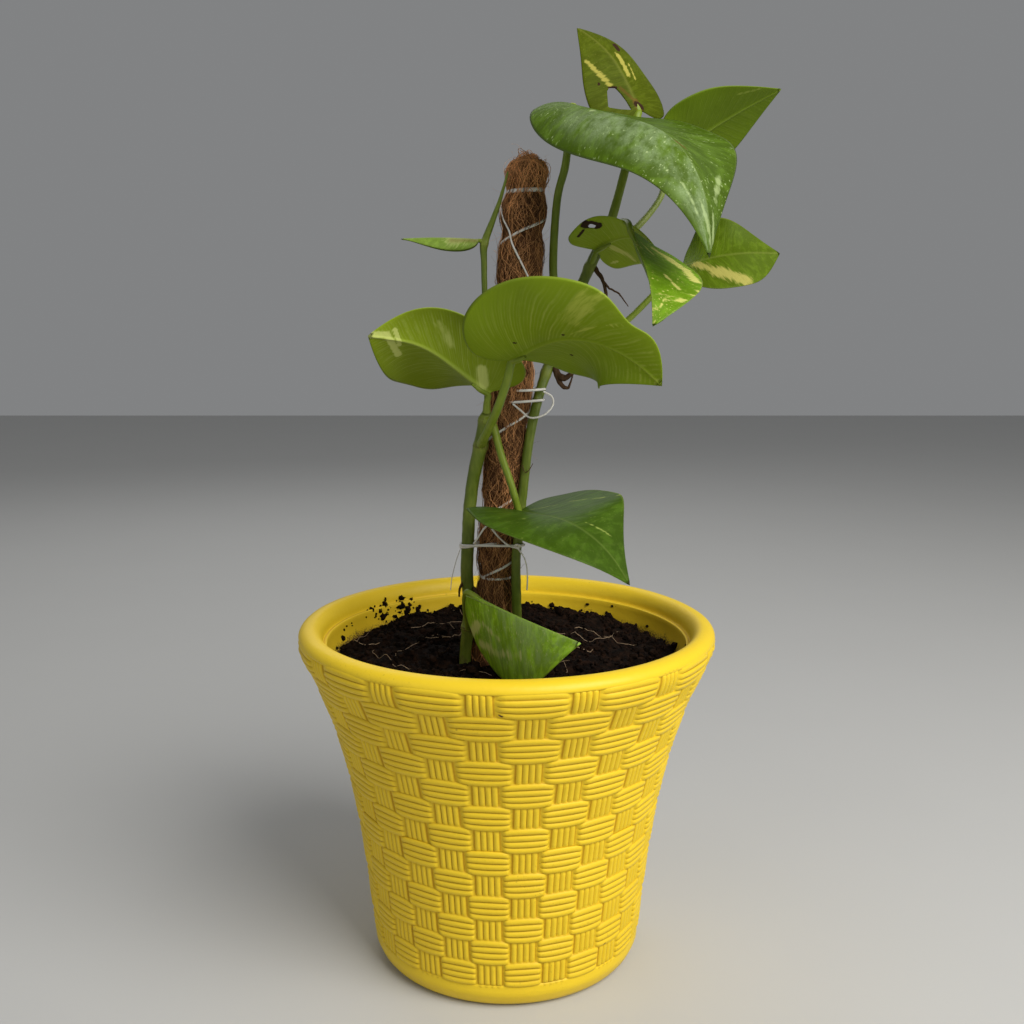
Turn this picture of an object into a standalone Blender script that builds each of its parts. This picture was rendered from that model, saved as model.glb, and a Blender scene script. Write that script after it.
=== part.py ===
"""A variegated pothos trained up a coir pole, in a round pot with a basket-weave wall.

Lengths are metres and angles degrees, +Z is up, and the pot stands on the plane z = 0 with its
axis on the Z axis. The leaves, stems and ties follow the photographed plant, seen along +Y.
"""
import math
from dataclasses import dataclass

import bmesh
import bpy
import numpy as np
from mathutils import Vector

MM = 0.001
GAP = 0.3 * MM

# Pot: a smooth inner liner, a rolled rim and a woven outer wall that flares towards the rim.
POT_COLUMNS = 28
POT_ROWS = 13
POT_STEPS = 2 * POT_COLUMNS
WEAVE_TOP = 162.0 * MM
WEAVE_BOTTOM = 12.5 * MM
WEAVE_ROW = (WEAVE_TOP - WEAVE_BOTTOM) / POT_ROWS
WEAVE_RELIEF = 1.2 * MM
WALL_FOOT = 65.0 * MM
WALL_TAPER = 0.10
WALL_FLARE = 18.0 * MM
FLARE_HEIGHT = 154.0 * MM
FLARE_POWER = 3.5
LINER_FOOT = 61.0 * MM
LINER_FLARE = 10.0 * MM
RIM_RADIUS = 100.0 * MM
RIM_CREST = (94.0 * MM, 166.5 * MM)
LEDGE = (88.5 * MM, 158.5 * MM)
FLOOR_THICKNESS = 4.0 * MM
FOOT_EDGE = ((65.6 * MM, 6.5 * MM), (63.5 * MM, 3.0 * MM), (60.0 * MM, 0.9 * MM), (55.0 * MM, 0.0))

# Soil: it fills the liner and its crumbly top sinks a little towards the camera side.
SOIL_TOP = 146.0 * MM
SOIL_CRUMB = 1.8 * MM
SOIL_SINK = 6.0 * MM
SOIL_RINGS = (20.0 * MM, 42.0 * MM, 62.0 * MM, 76.0 * MM)

# Coir pole: a fibre sleeve on a round stick, leaning slightly to +X.
POLE_BASE = (-5.6 * MM, 0.0, 175.9 * MM)
POLE_TOP = (9.8 * MM, 0.0, 383.7 * MM)
POLE_LEAN = (POLE_TOP[0] - POLE_BASE[0]) / (POLE_TOP[2] - POLE_BASE[2])
POLE_SLEEVE = (88.0 * MM, 386.0 * MM)
POLE_CORE = (70.0 * MM, 372.0 * MM)
POLE_RADIUS_LOW = 8.0 * MM
POLE_RADIUS_TOP = 9.5 * MM
STICK_RADIUS = 4.0 * MM
POLE_SIDES = 20

TWINE_RADIUS = 0.45 * MM
TWINE_SPAN = (184.0 * MM, 379.0 * MM)
TWINE_TURNS = 6
TWINE_POINTS_PER_TURN = 12
TIE_RADIUS = 0.6 * MM
SLANT_ALLOWANCE = 1.15

# How the petiole runs on under the blade: distance in millimetres and share of its radius.
RIB_TAPER = ((-0.6, 0.80), (4.0, 0.65), (12.0, 0.45))

BLADE_THICKNESS = 0.8 * MM
BLADE_STATIONS = 10
BLADE_STRIPS = 3
WIDEST_AT = 0.38


@dataclass(frozen=True)
class Leaf:
    """One heart-shaped blade and the petiole that carries it.

    The midrib starts at base, runs along heading (about Z) and pitch (above the horizontal), and
    falls by droop and turns by sweep around the fraction bend of its length. The fold, curl and
    tip values bend the left and right halves up from the midrib plane.
    """

    name: str
    base: tuple
    heading: float
    pitch: float
    roll: float
    length: float
    width: float
    lobe: tuple
    droop: float
    bend: float
    spread: float
    sweep: float
    twist: float
    fold: tuple
    curl: tuple
    tip: tuple
    skew: float
    petiole: tuple
    petiole_radius: float
    color: tuple
    stem: str


DEEP_GREEN = (0.10, 0.27, 0.03)
MID_GREEN = (0.16, 0.33, 0.04)
OLIVE_GREEN = (0.22, 0.36, 0.08)
LIME_GREEN = (0.36, 0.48, 0.09)
STEM_GREEN = (0.20, 0.33, 0.07)

LEAVES = (
    Leaf("leaf_1", (-18, -30, 187), -35, -14, 44, 68, 64, (0.08, 0.08), -10, 0.53, 0.45, -15, -24,
         (-72, -64), (-2, -17), (-1, 24), -0.20,
         ((-18, -6, 163), (-19, -14, 174), (-19, -24, 183)), 1.6, DEEP_GREEN, "vine_left"),
    Leaf("leaf_2", (6.4, -19.3, 223), -60, 3, 0, 79.5, 69.5, (0.23, 0.23), 62, 0.64, 0.35, 49, 7,
         (9, 11), (4, -10), (-6, -27), 0.10,
         ((-9.6, -11.5, 264), (-6.4, -13.5, 262.5), (-2.4, -16.5, 248.5), (1.6, -18.5, 237),
          (4, -19.2, 229)), 1.7, MID_GREEN, "vine_left"),
    Leaf("leaf_3", (2.2, -36, 293.2), -49, 22, 2, 80.6, 73.8, (0.07, 0.07), 69, 0.57, 0.49, 51, -37,
         (2, -5), (-45, 57), (-20, 18), -0.03,
         ((-12, -10, 252), (-10.5, -17, 256), (-7.5, -24, 262.5), (-4, -30.5, 271), (0, -35, 283)),
         1.8, OLIVE_GREEN, "vine_left"),
    Leaf("leaf_4", (-8.4, -13.3, 277.2), 200, 36, 23, 67, 60, (0.20, 0.03), 29, 0.57, 0.24, 22, 28,
         (36, 42), (-41, -46), (-13, -41), -0.05,
         ((-9.2, -11.5, 268), (-9, -13, 272.5)), 1.5, OLIVE_GREEN, "vine_left"),
    Leaf("leaf_5", (-13, -7.5, 346), 180, 3, 0, 35, 15, (0.05, 0.05), 6, 0.5, 0.5, 0, 0,
         (-20, -20), (-75, -75), (0, 0), 0.0,
         ((-10.3, -7.5, 343), (-11.5, -7.5, 345)), 1.0, LIME_GREEN, "vine_left"),
    Leaf("leaf_6", (29.5, -6.2, 404.6), -55, -16, -10, 122.5, 89.4, (0.08, 0.08), 76, 0.68, 0.37, 17, 1,
         (3, -5), (14, -69), (-14, -19), 0.21,
         ((27, 8, 308), (23, 4, 322), (21.5, 1, 336), (23, -2, 363.5), (26.6, -3.5, 379),
          (28.4, -4.6, 397)), 2.0, MID_GREEN, "vine_right"),
    Leaf("leaf_7", (61.7, 18.1, 406.7), 166, 64, -52, 49.2, 43.8, (0.24, 0.24), 31, 0.59, 0.41, -6, 4,
         (-11, -15), (-3, -18), (3, -10), -0.01,
         ((45.8, 6.3, 349), (49.4, 8, 358), (55.1, 12, 378.5), (58.4, 15, 392.3), (60.8, 17.5, 403)), 1.8,
         LIME_GREEN, "vine_right"),
    Leaf("leaf_8", (79.4, 30, 387.5), 1, 35, -42, 59.2, 52.6, (0.13, 0.13), 9, 0.51, 0.50, -4, 7,
         (-2, -2), (-7, 11), (10, -13), 0.0,
         ((44, 5, 345), (55, 8, 348), (64, 12, 355.5), (72, 18, 365.5), (75, 23, 373),
          (78, 27.5, 382)), 1.5, LIME_GREEN, "vine_right"),
    Leaf("leaf_9", (82.2, 5.9, 334.7), -26, 16, 30, 49.1, 45.5, (0.05, 0.05), 16, 0.42, 0.46, 52, 11,
         (-9, -2), (49, 3), (13, -23), 0.03,
         ((26, 6.5, 304), (36, 4, 302.5), (48, 2, 303.5), (57.7, 3, 310.7), (68.4, 4, 321.3),
          (77, 5, 330)), 1.5, OLIVE_GREEN, "vine_right"),
    Leaf("leaf_10", (41.6, 0.5, 341.8), -46, 24, -26, 40, 38, (0.22, 0.22), 68, 0.55, 0.50, 5, -11,
         (2, -2), (-12, -4), (-12, 0), 0.0,
         ((39, 6, 334), (40, 3.4, 337), (41, 1.6, 340)), 1.2, OLIVE_GREEN, "vine_right"),
    Leaf("leaf_11", (52.8, -37, 348.2), -75, -41, -1, 56.3, 55.2, (0.07, 0.07), 15, 0.65, 0.40, -20, 8,
         (-33, -118), (11, -5), (26, 1), 0.06,
         ((45.5, 6, 347.5), (48, 0, 351.5), (50, -9, 355.5), (51.6, -22, 355.5), (52.6, -32, 352)),
         1.3, MID_GREEN,
         "vine_right"),
)

# Stems: points (x, y, z, radius) in millimetres, from the soil up.
VINE_LEFT = (
    (-21.5, -5, 120, 2.6), (-19.8, -5, 150, 2.8), (-18.3, -4.6, 163, 3.2), (-17.6, -4, 173.9, 3.0),
    (-18.9, -5, 189.5, 3.0), (-18.3, -5.5, 204.7, 3.0), (-17.5, -6, 220.2, 3.0),
    (-15.5, -7.5, 236.1, 3.0), (-12.1, -9.5, 251.6, 3.2), (-9.8, -10, 264, 3.0),
    (-8.9, -9, 272, 1.5), (-8.9, -8.5, 296.3, 1.35), (-9.8, -8, 318.8, 1.3),
    (-10.2, -7.5, 335.8, 1.4), (-10, -7.5, 343.8, 1.7), (-6.1, -8, 354.4, 1.3),
    (-2.9, -9, 362.9, 0.9), (0.7, -10, 375.2, 0.4),
)
VINE_RIGHT = (
    (5.4, -8, 115, 2.2), (5.3, -8.5, 150, 2.3), (5.1, -9, 166.7, 2.3), (4.6, -9.3, 196.6, 2.2),
    (6, -9.2, 211.2, 2.2), (7.3, -9, 225.7, 2.2), (10.1, -7.9, 250.8, 2.2),
    (13.4, -4.8, 268.1, 2.3), (17.5, 0.5, 282, 2.4), (24, 6, 299, 2.7), (28, 7, 309, 2.3),
    (37.5, 6, 331, 2.5), (43, 5.5, 343, 2.5), (47.5, 6.8, 353, 2.2),
)
AERIAL_ROOTS = (
    ((21, 4, 291, 1.2), (24, 1, 285, 1.6), (27, -2, 283, 1.5), (31, -4, 286, 0.9),
     (34, -5, 292, 0.7)),
    ((40, 6, 336, 1.0), (45, 3, 327, 0.8), (47, 2, 318, 0.7), (51, 2, 314, 0.6)),
)

# Ties: each loop's height, its slope towards +X, and the stems that it binds to the pole.
TIES = (
    ("tie_lower", 205.0 * MM, 0.02, (VINE_LEFT, VINE_RIGHT)),
    ("tie_upper", 272.0 * MM, 0.05, (VINE_RIGHT,)),
)


def reset_scene():
    """Remove every object, so that the script starts from an empty scene."""
    for obj in list(bpy.data.objects):
        bpy.data.objects.remove(obj, do_unlink=True)


def new_collection(name):
    """Return a new collection linked to the scene."""
    collection = bpy.data.collections.new(name)
    bpy.context.scene.collection.children.link(collection)
    return collection


reset_scene()
PARTS = new_collection("pothos")
CUTTERS = new_collection("pothos_cutters")


def principled(name, color, roughness, metallic=0.0):
    """Return a Principled material with the given base colour."""
    material = bpy.data.materials.new(name)
    material.use_nodes = True
    shader = material.node_tree.nodes["Principled BSDF"]
    shader.inputs["Base Color"].default_value = (*color, 1.0)
    shader.inputs["Roughness"].default_value = roughness
    shader.inputs["Metallic"].default_value = metallic
    material.diffuse_color = (*color, 1.0)
    return material


def add_object(name, data, material=None, collection=PARTS):
    """Link an object with the given data and give it its material."""
    obj = bpy.data.objects.new(name, data)
    if material is not None:
        obj.data.materials.clear()
        obj.data.materials.append(material)
    collection.objects.link(obj)
    return obj


def evaluated_mesh(obj):
    """Return a new mesh of the object with its modifiers applied and loose caps welded."""
    bpy.context.view_layer.update()
    graph = bpy.context.evaluated_depsgraph_get()
    mesh = bpy.data.meshes.new_from_object(obj.evaluated_get(graph))
    edit = bmesh.new()
    edit.from_mesh(mesh)
    bmesh.ops.remove_doubles(edit, verts=edit.verts, dist=0.005 * MM)
    bmesh.ops.recalc_face_normals(edit, faces=edit.faces)
    if edit.calc_volume(signed=True) < 0.0:
        bmesh.ops.reverse_faces(edit, faces=edit.faces)
    edit.to_mesh(mesh)
    edit.free()
    return mesh


def baked(obj, name, material=None, collection=PARTS):
    """Replace an object by a plain mesh object with its evaluated shape."""
    mesh = evaluated_mesh(obj)
    matrix = obj.matrix_world.copy()
    bpy.data.objects.remove(obj, do_unlink=True)
    result = add_object(name, mesh, material, collection)
    result.matrix_world = matrix
    return result


def turned(name, profile, steps, material):
    """Turn a profile of (radius, height) points about Z into a closed mesh object."""
    mesh = bpy.data.meshes.new(name)
    points = [(radius, 0.0, height) for radius, height in profile]
    mesh.from_pydata(points, [(i, i + 1) for i in range(len(points) - 1)], [])
    obj = add_object(name + "_profile", mesh)
    screw = obj.modifiers.new("turn", "SCREW")
    screw.steps = steps
    screw.render_steps = steps
    screw.use_merge_vertices = True
    screw.merge_threshold = 0.01 * MM
    return baked(obj, name, material)


def smooth_path(points, per_span):
    """Sample a Catmull-Rom curve through rows of numbers, per_span samples to a span."""
    rows = np.asarray(points, dtype=float)
    padded = np.vstack([2 * rows[0] - rows[1], rows, 2 * rows[-1] - rows[-2]])
    samples = []
    for i in range(1, len(padded) - 2):
        before, start, end, after = padded[i - 1:i + 3]
        for step in np.arange(per_span) / per_span:
            square = step * step
            cube = square * step
            samples.append(0.5 * (2 * start + (end - before) * step
                                  + (2 * before - 5 * start + 4 * end - after) * square
                                  + (3 * start - before - 3 * end + after) * cube))
    samples.append(rows[-1])
    return np.array(samples)


def tube(name, points, material=None, closed=False, grow=0.0, resolution=2, collection=PARTS):
    """Make a closed round tube through (x, y, z, radius) points given in metres.

    Args:
        name: object name.
        points: rows of x, y, z and radius.
        material: material of the tube, or None for a cutter.
        closed: whether the path is a loop.
        grow: length added to every radius.
        resolution: bevel resolution of the round section.
        collection: where the object goes.

    Returns:
        The mesh object of the tube.
    """
    curve = bpy.data.curves.new(name + "_curve", "CURVE")
    curve.dimensions = "3D"
    curve.bevel_depth = 1.0
    curve.bevel_resolution = resolution
    curve.use_fill_caps = not closed
    spline = curve.splines.new("POLY")
    spline.points.add(len(points) - 1)
    for point, (x, y, z, radius) in zip(spline.points, points):
        point.co = (x, y, z, 1.0)
        point.radius = radius + grow
    spline.use_cyclic_u = closed
    obj = add_object(name + "_path", curve)
    return baked(obj, name, material, collection)


def boolean(obj, other, operation, solver="EXACT"):
    """Apply a Boolean with another object and drop that object.

    The thin curved blades need the MANIFOLD solver, since EXACT loses some of them whole.
    """
    other.hide_render = True
    other.display_type = "WIRE"
    modifier = obj.modifiers.new(operation.lower(), "BOOLEAN")
    modifier.operation = operation
    modifier.object = other
    modifier.solver = solver
    mesh = evaluated_mesh(obj)
    material = obj.data.materials[0] if obj.data.materials else None
    obj.modifiers.clear()
    old = obj.data
    obj.data = mesh
    bpy.data.meshes.remove(old)
    obj.data.materials.clear()
    if material is not None:
        obj.data.materials.append(material)
    bpy.data.objects.remove(other, do_unlink=True)


def finish(obj, angle=40.0):
    """Shade smooth, with sharp edges where faces meet at more than the given angle."""
    obj.data.shade_smooth()
    obj.data.set_sharp_from_angle(angle=math.radians(angle))


def wall_radius(height, foot, flare):
    """Radius of the pot wall or liner at a height, both of which flare towards the rim."""
    return foot + WALL_TAPER * height + flare * (height / FLARE_HEIGHT) ** FLARE_POWER


def weave_offset(angle, height):
    """Radial relief of the basket weave: bundles over and under in turn."""
    across = math.sin(0.5 * POT_COLUMNS * angle)
    down = math.sin(math.pi * (WEAVE_TOP - height) / WEAVE_ROW)
    return WEAVE_RELIEF * across * down


def make_pot():
    """Turn the pot and raise the weave on its outer wall."""
    liner_heights = [FLOOR_THICKNESS + 4.0 * MM, 47 * MM, 85 * MM, 118 * MM, 140 * MM]
    liner_edge = (wall_radius(liner_heights[0], LINER_FOOT, LINER_FLARE) - 3.0 * MM)
    profile = [(0.0, FLOOR_THICKNESS), (liner_edge, FLOOR_THICKNESS)]
    profile += [(wall_radius(z, LINER_FOOT, LINER_FLARE), z) for z in liner_heights]
    profile += [(LEDGE[0] - 1.5 * MM, LEDGE[1]), LEDGE]
    outer_start = (RIM_RADIUS, WEAVE_TOP)
    for share in (0.3, 0.65):
        profile.append(rim_point(LEDGE, share))
    profile.append(RIM_CREST)
    for share in (0.6, 0.25):
        profile.append(rim_point(outer_start, share))
    heights = [WEAVE_TOP - WEAVE_ROW * 0.5 * i for i in range(2 * POT_ROWS + 1)]
    profile += [(min(RIM_RADIUS, wall_radius(z, WALL_FOOT, WALL_FLARE)), z) for z in heights]
    profile += list(FOOT_EDGE) + [(0.0, 0.0)]
    pot = turned("pot", profile, POT_STEPS, principled("pot_plastic", (0.86, 0.62, 0.03), 0.35))
    raise_weave(pot.data)
    finish(pot, 60.0)


def raise_weave(mesh):
    """Push the outer wall's vertices in and out, and split each quad from its bundle's middle."""
    middle = 0.5 * (WALL_FOOT + LINER_FOOT)
    flare = 0.5 * (WALL_FLARE + LINER_FLARE)
    edit = bmesh.new()
    edit.from_mesh(mesh)
    relief = {}
    for vertex in edit.verts:
        x, y, z = vertex.co
        radius = math.hypot(x, y)
        if radius > wall_radius(z, middle, flare) and WEAVE_BOTTOM < z < WEAVE_TOP - 1.0 * MM:
            relief[vertex] = weave_offset(math.atan2(x, -y), z)
            vertex.co.xy *= 1.0 + relief[vertex] / radius
    for face in list(edit.faces):
        heights = [abs(relief.get(vertex, 0.0)) for vertex in face.verts]
        if len(heights) == 4 and max(heights) > 0.5 * WEAVE_RELIEF:
            peak = heights.index(max(heights))
            bmesh.utils.face_split(face, face.verts[peak], face.verts[peak - 2])
    edit.to_mesh(mesh)
    edit.free()


def rim_point(foot, share):
    """Point on the rolled rim's elliptic shoulder, from its foot (0) to the crest (1)."""
    turn = math.radians(90.0 * share)
    radius = RIM_CREST[0] + (foot[0] - RIM_CREST[0]) * math.cos(turn)
    height = foot[1] + (RIM_CREST[1] - foot[1]) * math.sin(turn)
    return radius, height


def soil_height(x, y):
    """Height of the crumbly soil surface, from a few crossing waves."""
    crumbs = math.sin(210 * x + 1.3) * math.cos(170 * y) + math.sin(390 * y - 260 * x)
    slope = y / LEDGE[0]
    return SOIL_TOP + 0.5 * SOIL_CRUMB * crumbs + SOIL_SINK * slope


def make_soil():
    """Turn the soil body inside the liner, raise its crumbs and leave plain holes for stems."""
    top_edge = SOIL_TOP - 1.0 * MM
    profile = [(0.0, SOIL_TOP)] + [(radius, SOIL_TOP) for radius in SOIL_RINGS]
    profile += [(wall_radius(top_edge, LINER_FOOT, LINER_FLARE) - 1.2 * MM, top_edge)]
    for height in (118 * MM, 85 * MM, 47 * MM, FLOOR_THICKNESS + 4.0 * MM):
        profile.append((wall_radius(height, LINER_FOOT, LINER_FLARE) - GAP - 0.1 * MM, height))
    edge = wall_radius(FLOOR_THICKNESS + 4.0 * MM, LINER_FOOT, LINER_FLARE) - 3.0 * MM
    profile += [(edge - GAP, FLOOR_THICKNESS + GAP), (0.0, FLOOR_THICKNESS + GAP)]
    soil = turned("soil", profile, POT_STEPS, principled("soil", (0.035, 0.022, 0.016), 0.95))
    for vertex in soil.data.vertices:
        if vertex.co.z > SOIL_TOP - 2.0 * MM:
            vertex.co.z += soil_height(vertex.co.x, vertex.co.y) - SOIL_TOP
            limit = wall_radius(vertex.co.z, LINER_FOOT, LINER_FLARE) - GAP - 0.2 * MM
            radius = math.hypot(vertex.co.x, vertex.co.y)
            if radius > limit:
                vertex.co.xy *= limit / radius
    pole_hole = tube("pole_hole", pole_path(POLE_CORE[0] - GAP, SOIL_TOP + 20 * MM, 2),
                     grow=GAP + 0.1 * MM, resolution=3, collection=CUTTERS)
    boolean(soil, pole_hole, "DIFFERENCE")
    for name, stem in (("left", VINE_LEFT), ("right", VINE_RIGHT)):
        boolean(soil, stem_cutter("hole_" + name, stem), "DIFFERENCE")
    finish(soil, 50.0)


def pole_x(height):
    """X of the leaning pole's axis at a height."""
    return POLE_BASE[0] + POLE_LEAN * (height - POLE_BASE[2])


def pole_radius(height):
    """Outer radius of the coir sleeve at a height."""
    share = (height - POLE_SLEEVE[0]) / (POLE_SLEEVE[1] - POLE_SLEEVE[0])
    return POLE_RADIUS_LOW + (POLE_RADIUS_TOP - POLE_RADIUS_LOW) * share


def pole_path(low, high, count, radius=None):
    """Rows of x, y, z and radius up the pole; without a radius they follow the sleeve."""
    rows = []
    for i in range(count):
        height = low + (high - low) * i / (count - 1)
        rows.append((pole_x(height), 0.0, height, pole_radius(height) if radius is None else radius))
    return rows


def make_pole():
    """Make the coir sleeve with its bore and the stick inside it."""
    coir = principled("coir", (0.30, 0.10, 0.045), 0.95)
    sleeve = tube("coir_pole", pole_path(*POLE_SLEEVE, 8), coir, resolution=3)
    bore_top = POLE_CORE[1] + GAP
    bore = tube("pole_bore", pole_path(POLE_SLEEVE[0] - 10 * MM, bore_top, 2, STICK_RADIUS + GAP),
                resolution=2, collection=CUTTERS)
    boolean(sleeve, bore, "DIFFERENCE")
    finish(sleeve, 50.0)
    wood = principled("stick_wood", (0.42, 0.28, 0.15), 0.7)
    stick = tube("pole_stick", pole_path(*POLE_CORE, 2, STICK_RADIUS), wood, resolution=2)
    finish(stick, 50.0)


def stem_rows(stem, per_span):
    """Smooth rows of x, y, z and radius in metres through a stem's points."""
    return smooth_path(np.array(stem) * MM, per_span)


def stem_cutter(name, stem):
    """Return a cutter that leaves the standard gap around a stem and its ends."""
    rows = stem_rows(stem, 2)
    for end, inner in ((0, 1), (-1, -2)):
        outward = Vector(rows[end][:3] - rows[inner][:3]).normalized()
        rows[end][:3] += GAP * np.array(outward)
    return tube(name, rows, grow=GAP, collection=CUTTERS)


def make_vines():
    """Make the two climbing stems, the right one with its aerial roots grown on."""
    green = principled("stem_green", STEM_GREEN, 0.45)
    left = tube("vine_left", stem_rows(VINE_LEFT, 2), green)
    finish(left, 60.0)
    right = tube("vine_right", stem_rows(VINE_RIGHT, 2), green)
    for i, root in enumerate(AERIAL_ROOTS):
        boolean(right, tube(f"root_{i}", stem_rows(root, 2), resolution=1, collection=CUTTERS),
                "UNION")
    finish(right, 60.0)


def make_twine():
    """Wind a thin twine up the pole, clear of its fibres by the standard gap."""
    count = TWINE_TURNS * TWINE_POINTS_PER_TURN
    rows = []
    for i in range(count + 1):
        turn = 2 * math.pi * i / TWINE_POINTS_PER_TURN
        height = TWINE_SPAN[0] + (TWINE_SPAN[1] - TWINE_SPAN[0]) * i / count
        reach = (pole_radius(height) + GAP + TWINE_RADIUS) / math.cos(math.pi / TWINE_POINTS_PER_TURN)
        rows.append((pole_x(height) + reach * math.sin(turn), -reach * math.cos(turn), height,
                     TWINE_RADIUS))
    twine = tube("pole_twine", rows, principled("twine", (0.80, 0.78, 0.70), 0.6), resolution=0)
    finish(twine, 60.0)


def stem_section(stem, height):
    """Centre and radius of a stem where it passes a height."""
    rows = stem_rows(stem, 4)
    x, y, radius = (np.interp(height, rows[:, 2], rows[:, column]) for column in (0, 1, 3))
    return x, y, radius * SLANT_ALLOWANCE


def make_ties():
    """Loop a string around the pole and the stems that it holds."""
    string = principled("tie_string", (0.82, 0.81, 0.76), 0.5)
    for name, height, slope, stems in TIES:
        circles = [(pole_x(height), 0.0, pole_radius(height) + 2 * TWINE_RADIUS + GAP)]
        circles += [stem_section(stem, height) for stem in stems]
        rows = []
        for angle in np.radians(np.arange(0, 360, 12)):
            direction = np.array([math.cos(angle), math.sin(angle)])
            reach = [x * direction[0] + y * direction[1] + r for x, y, r in circles]
            x, y, r = circles[int(np.argmax(reach))]
            out = r + 1.8 * GAP + TIE_RADIUS
            rows.append((x + out * direction[0], y + out * direction[1],
                         height + slope * (x + out * direction[0]), TIE_RADIUS))
        finish(tube(name, rows, string, closed=True, resolution=1), 60.0)


def margin(share, leaf, side):
    """Leaf outline on one side (0 left, 1 right): distances along and across the midrib."""
    scaled = share / WIDEST_AT
    bulge = scaled * np.exp(0.5 * (1 - scaled ** 2)) * (1 - share ** 2)
    along = leaf.length * (share ** 2 - leaf.lobe[side] * bulge)
    across = leaf.width / 2 * 1.5 * math.sqrt(3) * share * (1 - share ** 2)
    return along * MM, across * MM


def midrib_frames(leaf, count=120):
    """Positions and frames along the midrib.

    Returns:
        Distances, positions, tangents, left directions and upper normals.
    """
    x = np.linspace(0, 1, count + 1)
    ease = np.clip((x - leaf.bend + leaf.spread) / (2 * leaf.spread), 0, 1)
    ease = ease * ease * (3 - 2 * ease)
    heading = np.radians(leaf.heading + leaf.sweep * ease)
    pitch = np.radians(leaf.pitch - leaf.droop * ease)
    roll = np.radians(leaf.roll + leaf.twist * x)[:, None]
    tangent = np.stack([np.cos(pitch) * np.cos(heading), np.cos(pitch) * np.sin(heading),
                        np.sin(pitch)], 1)
    level = np.stack([-np.sin(heading), np.cos(heading), 0 * heading], 1)
    upright = np.cross(tangent, level)
    left = level * np.cos(roll) + upright * np.sin(roll)
    normal = upright * np.cos(roll) - level * np.sin(roll)
    step = leaf.length * MM / count
    path = np.vstack([np.zeros(3), np.cumsum(0.5 * (tangent[1:] + tangent[:-1]) * step, 0)])
    return x * leaf.length * MM, path + np.array(leaf.base) * MM, tangent, left, normal


def place(leaf, along, across):
    """Map flat leaf coordinates to space, with the blade's droop, folds and curls.

    Args:
        leaf: the leaf.
        along: distances from the base along the midrib.
        across: distances from the midrib, positive to the left.

    Returns:
        An array of positions.
    """
    distance, path, tangent, left, normal = midrib_frames(leaf)
    held = np.clip(along, 0, distance[-1])

    def at(values):
        return np.stack([np.interp(held, distance, values[:, i]) for i in range(3)], -1)

    is_left = across >= 0
    share = held / distance[-1]
    fold = np.radians(np.where(is_left, leaf.fold[0] + leaf.tip[0] * share,
                               leaf.fold[1] + leaf.tip[1] * share))
    bend = np.radians(np.where(is_left, leaf.curl[0], leaf.curl[1])) / (leaf.width / 2 * MM)
    bend = np.where(np.abs(bend) < 1e-3, 1e-3, bend)
    out = np.abs(across) * np.where(is_left, 1 + leaf.skew, 1 - leaf.skew)
    sideways = (np.sin(fold + bend * out) - np.sin(fold)) / bend
    upwards = (np.cos(fold) - np.cos(fold + bend * out)) / bend
    origin = at(path) + at(tangent) * (along - held)[..., None]
    return origin + at(left) * (np.sign(across) * sideways)[..., None] + at(normal) * upwards[..., None]


def blade_mesh(leaf):
    """Build the blade's open middle surface as triangles, base and tip each one point."""
    edit = bmesh.new()
    share = np.linspace(0, 1, BLADE_STATIONS + 1)
    strip = np.linspace(0, 1, BLADE_STRIPS + 1)
    start = leaf.length * MM * share ** 2
    sides = []
    for side, sign in enumerate((1, -1)):
        edge_along, edge_across = margin(share, leaf, side)
        along = start[:, None] + (edge_along - start)[:, None] * strip ** 1.4
        sides.append(place(leaf, along, sign * edge_across[:, None] * strip))
    rib = [edit.verts.new(point) for point in sides[0][:, 0]]
    for side, flip in zip(sides, (False, True)):
        rows = [[rib[i]] * (BLADE_STRIPS + 1) for i in range(BLADE_STATIONS + 1)]
        for i in range(1, BLADE_STATIONS):
            rows[i] = [rib[i]] + [edit.verts.new(point) for point in side[i, 1:]]
        for i in range(BLADE_STATIONS):
            for j in range(BLADE_STRIPS):
                corners = (rows[i][j], rows[i + 1][j], rows[i + 1][j + 1], rows[i][j + 1])
                for triple in (corners[:3], (corners[0], corners[2], corners[3])):
                    if len(set(triple)) == 3:
                        edit.faces.new(triple if not flip else triple[::-1])
    mesh = bpy.data.meshes.new(leaf.name)
    bmesh.ops.recalc_face_normals(edit, faces=edit.faces)
    edit.to_mesh(mesh)
    edit.free()
    return mesh


def make_leaf(leaf, stem):
    """Make one leaf: a thick blade joined to its petiole, seated against its stem."""
    material = principled(leaf.name, leaf.color, 0.35)
    blade = add_object(leaf.name + "_blade", blade_mesh(leaf))
    shell = blade.modifiers.new("thickness", "SOLIDIFY")
    shell.thickness = BLADE_THICKNESS
    shell.offset = 0.0
    shell.use_even_offset = False
    leaf_object = baked(blade, leaf.name, material)
    radius = leaf.petiole_radius * MM
    rows = [(x * MM, y * MM, z * MM, radius) for x, y, z in leaf.petiole]
    under = place(leaf, np.array([step for step, _ in RIB_TAPER]) * MM, np.zeros(len(RIB_TAPER)))
    for point, (_, share) in zip(under, RIB_TAPER):
        rows.append((*point, radius * share))
    petiole = tube(leaf.name + "_petiole", smooth_path(rows, 2), resolution=1, collection=CUTTERS)
    boolean(leaf_object, petiole, "UNION", "MANIFOLD")
    boolean(leaf_object, stem_cutter(leaf.name + "_seat", stem), "DIFFERENCE", "MANIFOLD")
    finish(leaf_object, 60.0)


def main():
    """Build every part of the plant."""
    make_pot()
    make_soil()
    make_pole()
    make_vines()
    make_twine()
    make_ties()
    stems = {"vine_left": VINE_LEFT, "vine_right": VINE_RIGHT}
    for leaf in LEAVES:
        make_leaf(leaf, stems[leaf.stem])


main()
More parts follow.
